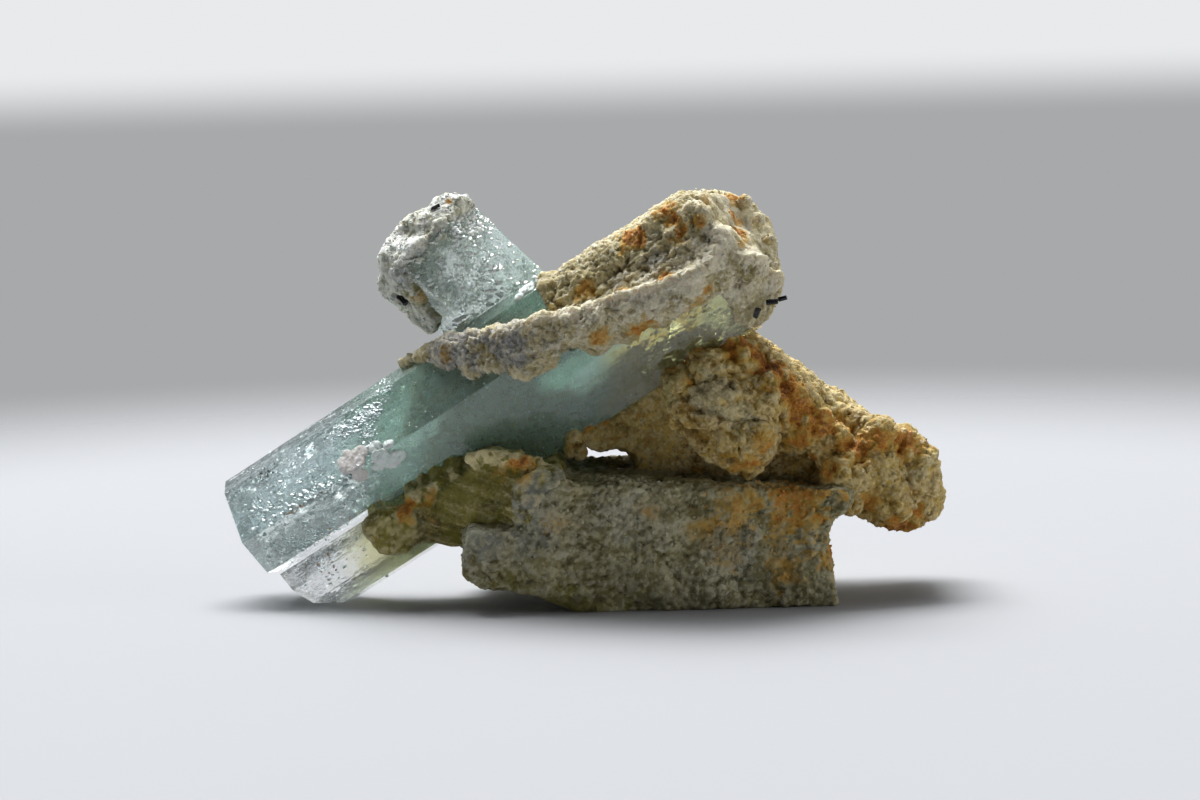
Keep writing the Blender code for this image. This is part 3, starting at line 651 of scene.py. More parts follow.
def backing():
    """Feldspar on the rear faces of the main prism, which darkens it when it is looked through."""
    bm = node_mesh(MAIN)
    bm.normal_update()
    for vert in bm.verts:
        vert.co += vert.normal * COAT * MM
    for point, normal in COAT_ENDS:
        cut = bmesh.ops.bisect_plane(bm, geom=list(bm.verts) + list(bm.edges) + list(bm.faces), clear_outer=True,
                                     plane_co=Vector(point) * MM, plane_no=normal)["geom_cut"]
        bmesh.ops.holes_fill(bm, edges=[e for e in cut if isinstance(e, bmesh.types.BMEdge)])
    coat = new_object("rear_coat", bm)
    core = new_object("core", node_mesh(MAIN))
    modify(coat, "BOOLEAN", operation="DIFFERENCE", object=core, solver="EXACT")
    bpy.data.objects.remove(core)
    modify(coat, "REMESH", mode="VOXEL", voxel_size=0.16 * COARSER * MM)
    modify(coat, "SMOOTH", factor=0.5, iterations=3)
    for vert in coat.data.vertices:
        ragged = noise.fractal(vert.co / (1.6 * MM), 1.0, 2.0, 3)
        vert.co.x += 1.3 * MM * ragged * ease(vert.co.x / MM, -10.6, -12.2)
    carve(coat, None, backing_relief, BACKING_TINTS)
    return coat


def feldspar_material(name, light, dark, deep, grey, bleached_and_highlight, relief=0.9, waxy=0.0, tilt=0.5,
                      contrast=1.0, rusty=0.3, size=0.4):
    """Weathered feldspar: matt cleaved grains that each lie and shine a little differently, iron stained."""
    mat, add = new_material(name)
    place = add("TexCoord", out="Object")
    depth, rust, *tints = [add("Attribute", {"attribute_name": name}, out="Fac")
                           for name in ("depth", "rust", "olive", "grey", "pale")]
    cloud = add("TexNoise", place, per_mm(2.2), 4.0, 0.6)
    patchy = add("TexNoise", place, per_mm(0.7), 5.0, 0.7)
    fine = add("TexNoise", place, per_mm(0.2), 4.0, 0.7)
    grain = add("TexVoronoi", place, per_mm(size))
    crumb = add("TexVoronoi", place, per_mm(size * 0.42))
    grain_tone, crumb_tone = [add("SeparateColor", cell.node.outputs["Color"]) for cell in (grain, crumb)]
    uneven = add("Math", TIMES_PLUS, fine, 0.5, patchy)
    uneven = add("Math", TIMES_PLUS, add("Math", PLUS, grain_tone, crumb_tone), 0.22, uneven)
    uneven = add("Math", MINUS, uneven, 0.97)
    base = add("Mix", COLOURS, add("MapRange", SOFT, cloud, 0.38, 0.62), light, dark)
    for share, colour in zip(tints, ("#8A8238", grey, bleached_and_highlight)):
        base = lay(add, base, colour, add("Math", TIMES_PLUS, share, 0.9, uneven), 0.1, 0.7, 0.0, 0.85)
    # grains and crumbs of their own tone: some bleached, some dull
    for tone, low, most, colour in ((grain_tone, 0.45, 0.4, bleached_and_highlight),
                                    (grain_tone.node.outputs["Green"], 0.55, 0.45, dark),
                                    (crumb_tone, 0.7, 0.5, bleached_and_highlight),
                                    (crumb_tone.node.outputs["Green"], 0.65, 0.4, deep)):
        base = lay(add, base, colour, tone, low, 1.0, 0.0, most * contrast)
    # painted highlight on the tops of knobs, partly bleached tone; painted shade in the creases, which also hold
    # ochre
    base = lay(add, base, bleached_and_highlight, depth, 0.42, 0.08, 0.0, 0.5)
    # painted shade: the creases are darkened towards the deep tone, patchily
    crease = add("MapRange", SOFT, depth, 0.5, 0.95)
    share = add("MapRange", SOFT, patchy, 0.3, 0.6, 0.35, 0.9)
    base = lay(add, base, deep, add("Math", TIMES, crease, share))
    # iron stain: ochre where it is thin, rust brown where it has gathered
    stain = add("Math", TIMES_PLUS, crease, rusty, rust)
    stain = add("Math", PLUS, stain, add("MapRange", SOFT, cloud, 0.48, 0.7, 0.0, rusty))
    gather = add("Math", TIMES, add("Math", TIMES_PLUS, uneven, 2.6, 1.25), stain)
    for low, high, most, colour in ((0.15, 0.75, 0.8, "#C49A3A"), (0.6, 1.2, 0.85, "#C0781C"),
                                    (1.1, 1.7, 0.85, "#86500F")):
        base = lay(add, base, colour, gather, low, high, 0.0, most)

    # every grain is cleaved at its own angle
    facing = add("NewGeometry", out="Normal")
    lean = add("VectorMath", TIMES_PLUS, grain.node.outputs["Color"], (tilt,) * 3, facing)
    lean = add("VectorMath", TIMES_PLUS, crumb.node.outputs["Color"], (tilt,) * 3, lean)
    lean = add("VectorMath", MINUS, lean, (tilt,) * 3)
    lean = add("VectorMath", UNIT, lean)
    height = add("Math", TIMES_PLUS, grain, -0.6, fine)
    height = add("Math", TIMES_PLUS, crumb, -0.35, height)
    bump = add("Bump", Strength=relief, Distance=0.12 * MM, Height=height, Normal=lean)
    gloss = add("MapRange", SOFT, grain_tone.node.outputs["Blue"], 0.6, 1.0, 0.85, 0.35)
    shader = add("BsdfPrincipled", Base_Color=base, Roughness=gloss, Normal=bump, IOR=FELDSPAR_IOR,
                 Subsurface_Weight=waxy, Subsurface_Radius=(1.0, 0.8, 0.5), Subsurface_Scale=0.6 * MM)
    add("OutputMaterial", Surface=shader)
    return mat


# Feldspar that grew on the main prism's front: x, y, z, radius along the face and thickness.
FACE_LUMPS = {
    "plate": (
        (-14.2, -2.75, 9.3, 0.9, 0.09), (-14.6, -2.7, 8.9, 0.65, 0.1), (-13.8, -2.7, 9.8, 0.6, 0.08),
        (-13.9, -2.8, 8.6, 0.55, 0.09), (-15.0, -2.6, 9.3, 0.45, 0.08), (-14.9, -2.6, 9.9, 0.35, 0.08)),
    "patch": (
        (-12.5, -3.3, 9.7, 0.6, 0.1), (-11.9, -3.4, 9.3, 0.6, 0.11), (-12.9, -3.1, 10.2, 0.45, 0.09),
        (-11.4, -3.4, 9.7, 0.45, 0.09), (-12.7, -3.3, 9.0, 0.35, 0.09), (-11.9, -3.3, 10.3, 0.35, 0.08)),
    "corner": ((-3.0, -2.0, 19.8, 0.6, 0.16), (-2.4, -1.8, 20.2, 0.55, 0.16), (-3.5, -2.2, 19.4, 0.4, 0.14)),
}


def face_growth(name, lumps, knobs):
    """Small lumps fused side by side on a face of the main prism."""
    bm = bmesh.new()
    for x, y, z, radius, thick in lumps:
        near, normal, _, _ = TREES[MAIN].find_nearest(Vector((x, y, z)) * MM)
        turn = normal.to_track_quat("Z", "Y").to_matrix() @ Matrix.Diagonal((radius, radius * 0.85, thick))
        bmesh.ops.create_icosphere(bm, subdivisions=3, radius=MM, matrix=Matrix.Translation(near) @ turn.to_4x4())
    obj = new_object(name, bm)
    modify(obj, "REMESH", mode="VOXEL", voxel_size=0.07 * COARSER * MM)
    mesh = obj.data
    placed, depth = [], []
    for vert, normal in zip(mesh.vertices, [n.vector.copy() for n in mesh.vertex_normals]):
        place = vert.co / MM
        height = packed(place, (0.42, 61))[0] * knobs + 0.25 * grit(place, 0.3, 62)
        placed.append(vert.co + normal * (height + 0.3) * FILM_RELIEF * MM)
        depth.append(0.45 - 0.6 * height)
    move_points(mesh, placed, depth=depth)
    return obj


# ---- aquamarine ----

CRACK_THICKNESS = 0.05    # of a crack's length
BERYL_IOR, FELDSPAR_IOR = 1.577, 1.53


def prism_body(node, name, edge):
    """A crystal's solid with flat faces and a fine worn edge."""
    bm = node_mesh(node)
    bmesh.ops.dissolve_limit(bm, angle_limit=math.radians(0.8), verts=bm.verts, edges=bm.edges)
    sharp = [e for e in bm.edges if len(e.link_faces) == 2 and e.calc_face_angle(0.0) > math.radians(12)
             and e.calc_length() > edge * 4 * MM]
    bmesh.ops.bevel(bm, geom=sharp, offset=edge * MM, offset_type="OFFSET", segments=2, profile=0.5,
                    affect="EDGES", clamp_overlap=True, material=-1)
    return new_object(name, bm)


def cracks(node, count, smallest, largest, seed, keep=None, lean=None, jitter=0.25):
    """Thin jagged hollows inside a crystal, which mirror the light."""
    rng = random.Random(seed)
    matrices = []
    for _ in range(count):
        size = grain_size(rng, smallest, largest)
        centre = scatter_inside(node, rng, (size * 1.2 + 0.04) * MM, keep)
        sizes = [size * MM, size * rng.uniform(0.3, 0.8) * MM, size * rng.uniform(0.6, 1.0) * CRACK_THICKNESS * MM]
        matrices.append(pose(rng, centre, sizes, lean, jitter))
    return swarm("cracks", SHARDS, matrices)


def aquamarine_material(name, turn, tint, density, zones, veil, rippled, ripple, drawn, broken, cloudy=0.0):
    """Beryl: glossy natural faces with fine growth lines along the prism, pale blue-green in depth.

    Each zone is where it starts in millimetres across the specimen, its milkiness, its blur and its colour.
    Left of rippled, also in millimetres, fine growth breaks up what lies behind; drawn is below 1 where it is
    longer along the prism, and broken is how far its cells lean. Cloudy is how much it glows against the light.
    """
    mat, add = new_material(name)
    place = add("TexCoord", out="Object")
    across = add("SeparateXYZ", place)
    across = add("Math", TIMES_PLUS, add("TexNoise", place, per_mm(1.4), 4.0, 0.6), 0.005, across)
    # painted light: at the clear end the faces that turn down are painted paler than those that turn up
    facing = add("NewGeometry", out="Normal")
    upward_for_painted_light = add("SeparateXYZ", facing).node.outputs["Z"]
    upward_for_painted_light = add("MapRange", SOFT, upward_for_painted_light, -0.05, 0.3)
    milky, blur = zones[0][1], zones[0][2]
    colour = add("Mix", COLOURS, upward_for_painted_light, "#FFFFFF", zones[0][3])
    for start, next_milky, next_blur, next_colour in zones[1:]:
        share = add("MapRange", SOFT, across, (start + 0.8) * MM, (start + 4.2) * MM)
        milky = add("Mix", share, milky, next_milky)
        blur = add("Mix", share, blur, next_blur)
        colour = lay(add, colour, next_colour, share)
    along = add("Mapping", {"vector_type": "TEXTURE"}, Vector=place, Rotation=turn)
    stretched = add("Mapping", Vector=along, Scale=(0.035, 1.0, 1.0))
    streaked = add("Mapping", Vector=along, Scale=(0.3, 1.0, 1.0))
    lines = add("TexNoise", stretched, per_mm(0.2), 3.0, 0.6)
    streaks = add("TexNoise", streaked, per_mm(0.4), 4.0, 0.65)
    dimples = add("TexNoise", place, per_mm(0.7), 3.0, 0.5)
    grown = add("Mapping", Vector=along, Scale=(drawn, 1.0, 1.0))
    growth = add("TexNoise", grown, per_mm(0.5), 3.0, 0.6)
    share = add("MapRange", SOFT, across, (rippled + 4.5) * MM, rippled * MM, 0.5, ripple)
    height = add("Math", TIMES_PLUS, dimples, 1.5, lines)
    height = add("Math", TIMES_PLUS, growth, share, height)
    # broken growth: jagged cells that each bend the light their own way, under faces that stay flat and glossy
    wander = add("TexNoise", place, per_mm(0.5), 3.0, out="Color")
    jagged = add("VectorMath", TIMES_PLUS, wander, (0.5 * MM,) * 3, grown)
    cells = add("TexVoronoi", jagged, per_mm(0.45), out="Color")
    shards = add("TexVoronoi", jagged, per_mm(0.16), out="Color")
    cells = add("VectorMath", TIMES_PLUS, shards, (0.8,) * 3, cells)
    cells = add("VectorMath", MINUS, cells, (0.9,) * 3)
    share = add("MapRange", SOFT, across, (rippled + 4.5) * MM, rippled * MM, 0.25 * broken, broken)
    right = add("MapRange", SOFT, across, 4.0 * MM, 7.0 * MM, 0.0, broken)
    share = add("Math", LARGER, share, right)
    lean = add("VectorMath", LONGER, cells, Scale=share)
    lean = add("VectorMath", PLUS, lean, facing)
    lean = add("VectorMath", UNIT, lean)
    bump = add("Bump", Strength=0.5, Distance=0.05 * MM, Height=height, Normal=lean)
    # healed cracks and growth tubes blur and whiten what lies behind
    frost = add("TexNoise", place, per_mm(0.7), 5.0, 0.75)
    frost = add("MapRange", SOFT, frost, 0.42, 0.66)
    blur = add("Math", TIMES_PLUS, frost, 0.10, blur)
    share = add("MapRange", SOFT, streaks, 0.4, 0.7, 0.0, 0.6 * veil)
    cloud = add("Math", PLUS, share, milky)
    clear = add("Math", MINUS, 1.0, add("Math", TIMES_PLUS, frost, veil, cloud))
    shader = add("BsdfPrincipled", Base_Color=colour, Roughness=blur, Normal=bump, IOR=BERYL_IOR,
                 Transmission_Weight=clear, Coat_Weight=1.0, Coat_Roughness=0.03, Coat_IOR=1.5)
    if cloudy:
        # fine inner clouds pass the light on in all directions
        share = add("MapRange", SOFT, frost, 0.0, 1.0, 0.6 * cloudy, 1.4 * cloudy)
        glow = add("BsdfTranslucent", Color="#E8FAF4", Normal=bump)
        shader = add("MixShader", share, shader, glow)
    absorb = add("VolumeAbsorption", Color=tint, Density=density)
    add("OutputMaterial", Surface=shader, Volume=absorb)
    return mat


def specks(name, node, count, smallest, largest, seed, keep=None, veils=0):
    """Tiny solid grains inside a crystal, alone or gathered in curved veils."""
    rng = random.Random(seed)
    room = largest * MM
    centres = []
    for _ in range(veils):
        middle = scatter_inside(node, rng, room * 2, keep)
        turn = Euler([rng.uniform(0, TURN) for _ in range(3)]).to_matrix()
        reach = rng.uniform(0.8, 2.4) * MM
        phase = Vector([rng.uniform(0, 50) for _ in range(3)])
        for _ in range(count // veils):
            flat = Vector((rng.gauss(0, 0.5), rng.gauss(0, 0.35), 0.0))
            flat.z = 0.3 * noise.noise(flat * 1.5 + phase)
            place = middle + turn @ (flat * reach)
            if inside(TREES[node], place, room):
                centres.append(place)
    if not veils:
        centres = [scatter_inside(node, rng, room, keep) for _ in range(count)]
    matrices = []
    for centre in centres:
        size = grain_size(rng, smallest, largest) * MM / 2
        matrices.append(pose(rng, centre, [size * rng.uniform(0.6, 1.8), size, size * rng.uniform(0.3, 1.0)]))
    return swarm(name, CRUMBS, matrices)


def surface_specks(name, node, lean, count, smallest, largest, seed, keep=None, spread=0.0, path=()):
    """Tiny grains set in the faces of a crystal that look to the front, some along a path of x and z.

    With a lean they are flat and lie across that direction.
    """
    rng = random.Random(seed)
    low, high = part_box(node)
    matrices = []
    for _ in range(count * TRIES_PER_GRAIN):
        if len(matrices) == count:
            break
        if path:
            step = rng.randrange(len(path) - 1)
            start, end = [Vector((x, 0.0, z)) for x, z in path[step:step + 2]]
            start = start.lerp(end, rng.random()) * MM
            start += Vector((rng.gauss(0, spread), 0, rng.gauss(0, spread))) * MM
            start.y = low.y - 5 * MM
        else:
            start = Vector((rng.uniform(low.x, high.x), low.y - 5 * MM, rng.uniform(low.z, high.z)))
        near, normal, _, _ = TREES[node].ray_cast(start, Vector((0, 1, 0)))
        if near is None or (keep and not keep(near / MM)):
            continue
        size = grain_size(rng, smallest, largest) * MM / 2
        sizes = [size * rng.uniform(0.8, 1.8), size, size * 0.5]
        matrices.append(pose(rng, near - normal * size * 0.2, sizes, lean or normal, 0.12 if lean else 0.1))
    return swarm(name, FLAKES if lean else CRUMBS, matrices)


def plain_material(name, colour, second, roughness, size=0.3, waxy=0.0):
    """A small inclusion's finish, uneven in tone."""
    mat, add = new_material(name)
    place = add("TexCoord", out="Object")
    share = add("MapRange", SOFT, add("TexNoise", place, per_mm(size), 3.0), 0.35, 0.65)
    tone = add("Mix", COLOURS, share, colour, second)
    height = add("TexNoise", place, per_mm(size * 0.4), 3.0)
    bump = add("Bump", Strength=0.4, Distance=0.03 * MM, Height=height)
    shader = add("BsdfPrincipled", Base_Color=tone, Roughness=roughness, Normal=bump,
                 Subsurface_Weight=waxy, Subsurface_Radius=(1.0, 1.0, 1.0), Subsurface_Scale=0.5 * MM)
    add("OutputMaterial", Surface=shader)
    return mat


# ---- schorl ----

RIBS = 18                 # round a needle
SLIM = (0.6, 0.74, 0.74)  # a needle's size beside its solid: length, width and depth


def needle(node, name, seed):
    """A schorl needle: a striated prism with a broken end, along the CAD needle."""
    points = np.array([v.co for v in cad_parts[node].data.vertices])
    centre = points.mean(axis=0)
    _, _, turn = np.linalg.svd(points - centre, full_matrices=False)
    local = (points - centre) @ turn.T
    half = [(local[:, i].max() - local[:, i].min()) / 2 for i in range(3)]
    rng = random.Random(seed)
    bm = bmesh.new()
    bmesh.ops.create_cone(bm, cap_ends=True, segments=RIBS, radius1=1.0, radius2=0.94, depth=2.0)
    sides = [e for e in bm.edges if abs(e.verts[0].co.z - e.verts[1].co.z) > 1.0]
    bmesh.ops.subdivide_edges(bm, edges=sides, cuts=7)
    grooves = [rng.uniform(-0.12, 0.05) for _ in range(RIBS)]
    long, wide, thin = [reach * share for reach, share in zip(half, SLIM)]
    for vert in bm.verts:
        angle = math.atan2(vert.co.y, vert.co.x) % math.tau
        bulge = 1.0 + grooves[int(angle / math.tau * RIBS + 0.5) % RIBS] + 0.10 * math.cos(3 * angle)
        bulge += 0.03 * noise.noise(vert.co * 3 + Vector((seed, 0, 0)))
        end = 0.14 * noise.noise(Vector((vert.co.x * 2, vert.co.y * 2, seed))) if vert.co.z > 0.99 else 0.0
        vert.co = Vector((vert.co.x * bulge * wide, vert.co.y * bulge * thin, (vert.co.z + end) * long))
    axes = Matrix((turn[1], turn[2], turn[0])).transposed()
    if axes.determinant() < 0:
        axes = Matrix((turn[1], -turn[2], turn[0])).transposed()
    bmesh.ops.transform(bm, matrix=Matrix.Translation(centre) @ axes.to_4x4(), verts=bm.verts)
    return new_object(name, bm)


# ---- settings ----

class StageSettings(bpy.types.PropertyGroup):
    """The view, the light and the floor."""
    target: FloatVectorProperty(name="Target", description="What the camera looks at", size=3,
                                subtype="TRANSLATION", default=(1.38 * MM, -4.7 * MM, 12.98 * MM), precision=5)
    elevation: FloatProperty(name="Elevation", description="How far the camera looks down",
                             default=math.radians(6.0), unit="ROTATION")
    roll: FloatProperty(name="Roll", description="How far the camera leans to its right",
                        default=math.radians(1.45), unit="ROTATION")
    distance: FloatProperty(name="Distance", description="From the camera to its target", default=208 * MM,
                            unit="LENGTH", precision=4)
    lens: FloatProperty(name="Lens", description="Focal length on a 36 mm wide sensor", default=99.84,
                        unit="CAMERA")
    floor_radius: FloatProperty(name="Floor radius", description="Where the floor has faded out",
                                default=160 * MM, unit="LENGTH", precision=4)
    window_power: FloatProperty(name="Window", description="Light from behind and above", default=14.5,
                                unit="POWER")
    card_power: FloatProperty(name="Card", description="Weak light from the right", default=1.0, unit="POWER")
    glow: FloatProperty(name="Glow", description="How bright the room is round the window", default=16.5)


class CrystalSettings(bpy.types.PropertyGroup):
    """The aquamarine."""
    depth_tint: FloatVectorProperty(name="Depth tint", description="Colour that the crystal takes in depth",
                                    size=3, subtype="COLOR", default=linear("#B0D6D0")[:3], min=0.0, max=1.0)
    density: FloatProperty(name="Density", description="How quickly the tint builds up, per metre", default=55.0)
    edge: FloatProperty(name="Edge wear", description="Width of the worn edge in millimetres", default=0.05)
    flaws: IntProperty(name="Cracks", description="Inner cracks of the main crystal", default=700)


class RockSettings(bpy.types.PropertyGroup):
    """The feldspar."""
    skin: FloatProperty(name="Skin", description="Size of the finest faces in millimetres", default=0.124)
    wax: FloatProperty(name="Wax", description="How much light passes under the pale feldspar", default=0.4)


# ---- operators ----

# Lights, in metres from the specimen: a wide one behind, above and to the left, and a weak one to the right.
WINDOW, WINDOW_SIZE = Vector((-0.16, 0.42, 0.88)), (0.66, 0.42)
CARD, CARD_SIZE = Vector((0.62, -0.22, 0.20)), (0.34, 0.34)
FLOOR_FADES = (0.45, 0.98)                 # of the floor's radius


class SPECIMEN_OT_stage(bpy.types.Operator):
    """Sets the camera, the light and a plain pale floor"""
    bl_idname = "specimen.stage"
    bl_label = "Stage"

    def execute(self, context):
        settings = context.scene.specimen_stage
        self.camera(context, settings)
        self.light(context, "window", WINDOW, WINDOW_SIZE, settings.window_power)
        self.light(context, "right card", CARD, CARD_SIZE, settings.card_power)
        self.floor(settings)
        self.room(context, settings)
        context.scene.view_settings.view_transform = "Standard"
        return {"FINISHED"}

    def camera(self, context, settings):
        """A long lens close to the ground."""
        data = bpy.data.cameras.new("camera")
        data.lens = settings.lens
        data.sensor_width = 36.0
        data.clip_start, data.clip_end = 0.01, 10.0
        obj = bpy.data.objects.new("camera", data)
        context.scene.collection.objects.link(obj)
        sight = Vector((0.0, math.cos(settings.elevation), -math.sin(settings.elevation)))
        level_up = Vector((0.0, math.sin(settings.elevation), math.cos(settings.elevation)))
        across = Vector((1.0, 0.0, 0.0))
        right = across * math.cos(settings.roll) - level_up * math.sin(settings.roll)
        up = across * math.sin(settings.roll) + level_up * math.cos(settings.roll)
        turn = Matrix((right, up, -sight)).transposed().to_4x4()
        obj.matrix_world = Matrix.Translation(Vector(settings.target) - sight * settings.distance) @ turn
        context.scene.camera = obj

    def light(self, context, name, away, size, power):
        """A soft light that faces the specimen."""
        data = bpy.data.lights.new(name, "AREA")
        data.shape = "RECTANGLE"
        data.size, data.size_y = size
        data.energy = power
        obj = bpy.data.objects.new(name, data)
        context.scene.collection.objects.link(obj)
        obj.matrix_world = Matrix.Translation(away) @ away.to_track_quat("Z", "Y").to_matrix().to_4x4()

    def floor(self, settings):
        """A plain floor that fades into the room."""
        bm = bmesh.new()
        bmesh.ops.create_circle(bm, cap_ends=True, segments=96, radius=settings.floor_radius)
        obj = new_object("floor", bm)
        mat, add = new_material("pale paper")
        place = add("TexCoord", out="Object")
        away = add("VectorMath", LENGTH, place)
        fade = add("MapRange", SOFT, away, *[settings.floor_radius * share for share in FLOOR_FADES])
        paper = add("BsdfPrincipled", Base_Color="#A6A7AA", Roughness=0.9, Specular_IOR_Level=0.2)
        mixed = add("MixShader", fade, paper, add("BsdfTransparent"))
        add("OutputMaterial", Surface=mixed)
        obj.data.materials.append(mat)

    def room(self, context, settings):
        """A soft grey room: dark in front, lighter behind, with a bright band at the height of the lens."""
        world = bpy.data.worlds.new("room")
        world.use_nodes = True
        world.node_tree.nodes.clear()
        add = partial(add_node, world.node_tree)
        view = add("TexCoord", out="Generated")
        split = add("SeparateXYZ", view)
        forward, height = split.node.outputs["Y"], split.node.outputs["Z"]
        back = add("MapRange", SOFT, forward, -0.6, 0.7)
        colour = add("Mix", COLOURS, back, "#414345", "#A8A9AA")
        ceiling = add("Mix", COLOURS, back, "#383A3B", "#808284")
        colour = add("Mix", COLOURS, add("MapRange", SOFT, height, 0.06, 0.4), colour, ceiling)
        band = add("Math", TIMES, add("MapRange", SOFT, height, -0.022, -0.002),
                   add("MapRange", SOFT, height, 0.4, 0.1))
        colour = lay(add, colour, "#E8EAEC", add("Math", TIMES, band, back))
        # a wide soft glow round the window
        near = add("VectorMath", DOT, view, WINDOW.normalized(), out="Value")
        glow = add("MapRange", SOFT, near, 0.80, 0.97, 1.0, settings.glow)
        light = add("Background", colour, glow)
        add("OutputWorld", Surface=light)
        context.scene.world = world


class SPECIMEN_OT_feldspar(bpy.types.Operator):
    """Dresses the feldspar pieces"""
    bl_idname = "specimen.feldspar"
    bl_label = "Feldspar"

    def execute(self, context):
        settings = context.scene.specimen_rock
        noise.seed_set(KNOB_SEED)
        wax = settings.wax
        # knobs that are cream, with a painted highlight on top and painted shade and ochre in their creases
        cream = feldspar_material("cream weathered feldspar", "#D0B05A", "#A07E36", "#38270A", "#A8A486", "#E4D29C")
        # dull sandstone-like grit, grey to olive
        gritty = feldspar_material("grey gritty feldspar", "#9C9466", "#726A42", "#3C3216", "#8E9084", "#C8C2A2",
                                   relief=0.7, tilt=0.45, contrast=0.7, rusty=0.15, size=0.55)
        # a soft sheen on flat greenish layers
        yellow = feldspar_material("cleaved greenish feldspar", "#7E7822", "#5C5418", "#32280A", "#94968E",
                                   "#E6D8A6", relief=0.5, waxy=wax, tilt=0.2, contrast=0.25, rusty=0.2)
        # a bright sugary rim that lets a little light in
        white = feldspar_material("white sugary albite", "#D2C598", "#B0A270", "#725A26", "#90949A", "#ECE4CA",
                                  relief=1.1, waxy=wax, contrast=0.5, rusty=0.12, size=0.3)
        # frosty white crystals too small to tell apart
        sugary = feldspar_material("sugary albite druse", "#DADAC6", "#B4B6A0", "#7C7844", "#9CA0A4", "#F8FAF4",
                                   relief=1.1, waxy=0.3, contrast=0.6, rusty=0.05, size=0.35)
        # thin films on the prism, one warm and one cold
        pinkish = feldspar_material("grey-pink feldspar", "#E4E0DC", "#CECAC4", "#A8A080", "#8F8F98", "#F4F0EE",
                                    relief=0.3, tilt=0.2, rusty=0.0)
        snowy = feldspar_material("snow-white albite", "#F2FFFA", "#DCEEE6", "#B8BCB4", "#A8A8B0", "#FFFFFF",
                                  relief=0.8, rusty=0.0)
        skin = settings.skin
        for node, name, slot, mat, voxel, relief, tints, lumps, grains in (
                ("feldspar_block", "block_rock", "grey_feldspar", gritty, skin * 1.1, block_relief, BLOCK_TINTS,
                 (), (1900, 0.16, 0.36, 21, lambda p: p.z > 1.6)),
                ("feldspar_arm", "arm_rock", "cream_feldspar", cream, skin * 1.05, arm_relief, ARM_TINTS,
                 ARM_LUMPS, (900, 0.14, 0.3, 22, lambda p: p.x > 6.0 or p.y > 0)),
                ("feldspar_wedge", "wedge_rock", "yellow_feldspar", yellow, skin, wedge_relief, WEDGE_TINTS,
                 WEDGE_LUMPS, (500, 0.1, 0.24, 23, lambda p: p.x > -3.8 or p.x < -9.8)),
                ("feldspar_crust", "crust_rock", "white_feldspar", white, skin * 0.95, crust_relief, CRUST_TINTS,
                 CAP_LUMPS, (1600, 0.08, 0.2, 24)),
                ("feldspar_druse", "druse_rock", "white_feldspar", sugary, skin, druse_relief, DRUSE_TINTS,
                 (), (1000, 0.1, 0.26, 25))):
            dress(feldspar(node, name, voxel, relief, tints, lumps, grains), mat, node)
        dress(backing(), cream)
        for name, mat, knobs in (("plate", pinkish, 0.3), ("patch", snowy, 1.8), ("corner", snowy, 1.2)):
            dress(face_growth(name + "_growth", FACE_LUMPS[name], knobs), mat)
        return {"FINISHED"}


# Directions that mirror the window to the front, for the broken steps on a face and for inner cracks.
GLITTER = (-0.14, -0.49, 0.86)
GLINT = (-0.34, -0.43, 0.84)
CROSSING_GLINT = (0.02, -0.34, 0.94)


class SPECIMEN_OT_crystals(bpy.types.Operator):
    """Dresses the aquamarine prisms and opens their inner cracks"""
    bl_idname = "specimen.crystals"
    bl_label = "Aquamarine"

    def execute(self, context):
        settings = context.scene.specimen_crystal
        tint = (*settings.depth_tint, 1.0)
        # glassy at the left end, hazier and greener to the right
        clear = aquamarine_material(
            "blue-green beryl", GROUP_TURN, tint, settings.density,
            ((-30.0, 0.0, 0.02, "#D8E6E8"), (-14.0, 0.22, 0.25, "#B8DACA"), (2.5, 0.16, 0.05, "#E0DCA0")),
            veil=0.05, rippled=-13.5, ripple=6.0, drawn=0.3, broken=0.35)
        # like window glass, with a straw tint under the rock
        pale = aquamarine_material(
            "nearly colourless beryl", GROUP_TURN, tint, settings.density * 0.2,
            ((-30.0, 0.0, 0.02, "#FCFFFF"), (-14.5, 0.16, 0.08, "#F6F2C0")),
            veil=0.05, rippled=-15.0, ripple=6.0, drawn=0.3, broken=0.3)
        # milky with fine cracks, so that it glows against the light
        cloudy = aquamarine_material(
            "cloudy pale beryl", CROSSING_TURN, tint, settings.density * 0.06,
            ((-30.0, 0.03, 0.03, "#F4FFFC"), (-4.0, 0.0, 0.06, "#D2E6DC")),
            veil=0.06, rippled=-5.0, ripple=2.0, drawn=0.8, broken=0.28, cloudy=0.24)
        flaws = settings.flaws
        for node, name, mat, opened in (
                (MAIN, "main_prism", clear, (
                    (flaws, 0.04, 0.18, 31, lambda p: p.x < -8.0),
                    (flaws, 0.05, 0.26, 32, lambda p: p.x < -10.5, GLINT, 0.3),
                    (flaws // 3, 0.06, 0.5, 33, lambda p: 4.0 < p.x < 9.0 and p.z > 14.0, GLINT),
                    (flaws // 6, 0.05, 0.2, 34, lambda p: -8.0 < p.x < 4.0))),
                (LOWER, "lower_prism", pale, (
                    (flaws // 5, 0.03, 0.14, 35),
                    (flaws // 4, 0.05, 0.22, 36, None, GLINT, 0.3))),
                (CROSSING, "crossing_prism", cloudy, (
                    (flaws // 5, 0.04, 0.2, 37),
                    (flaws // 2, 0.08, 0.4, 38, None, CROSSING_GLINT, 0.35)))):
            prism = prism_body(node, name, settings.edge)
            join(prism, [cracks(node, *row) for row in opened])
            dress(prism, mat, node, smooth=False)
        return {"FINISHED"}


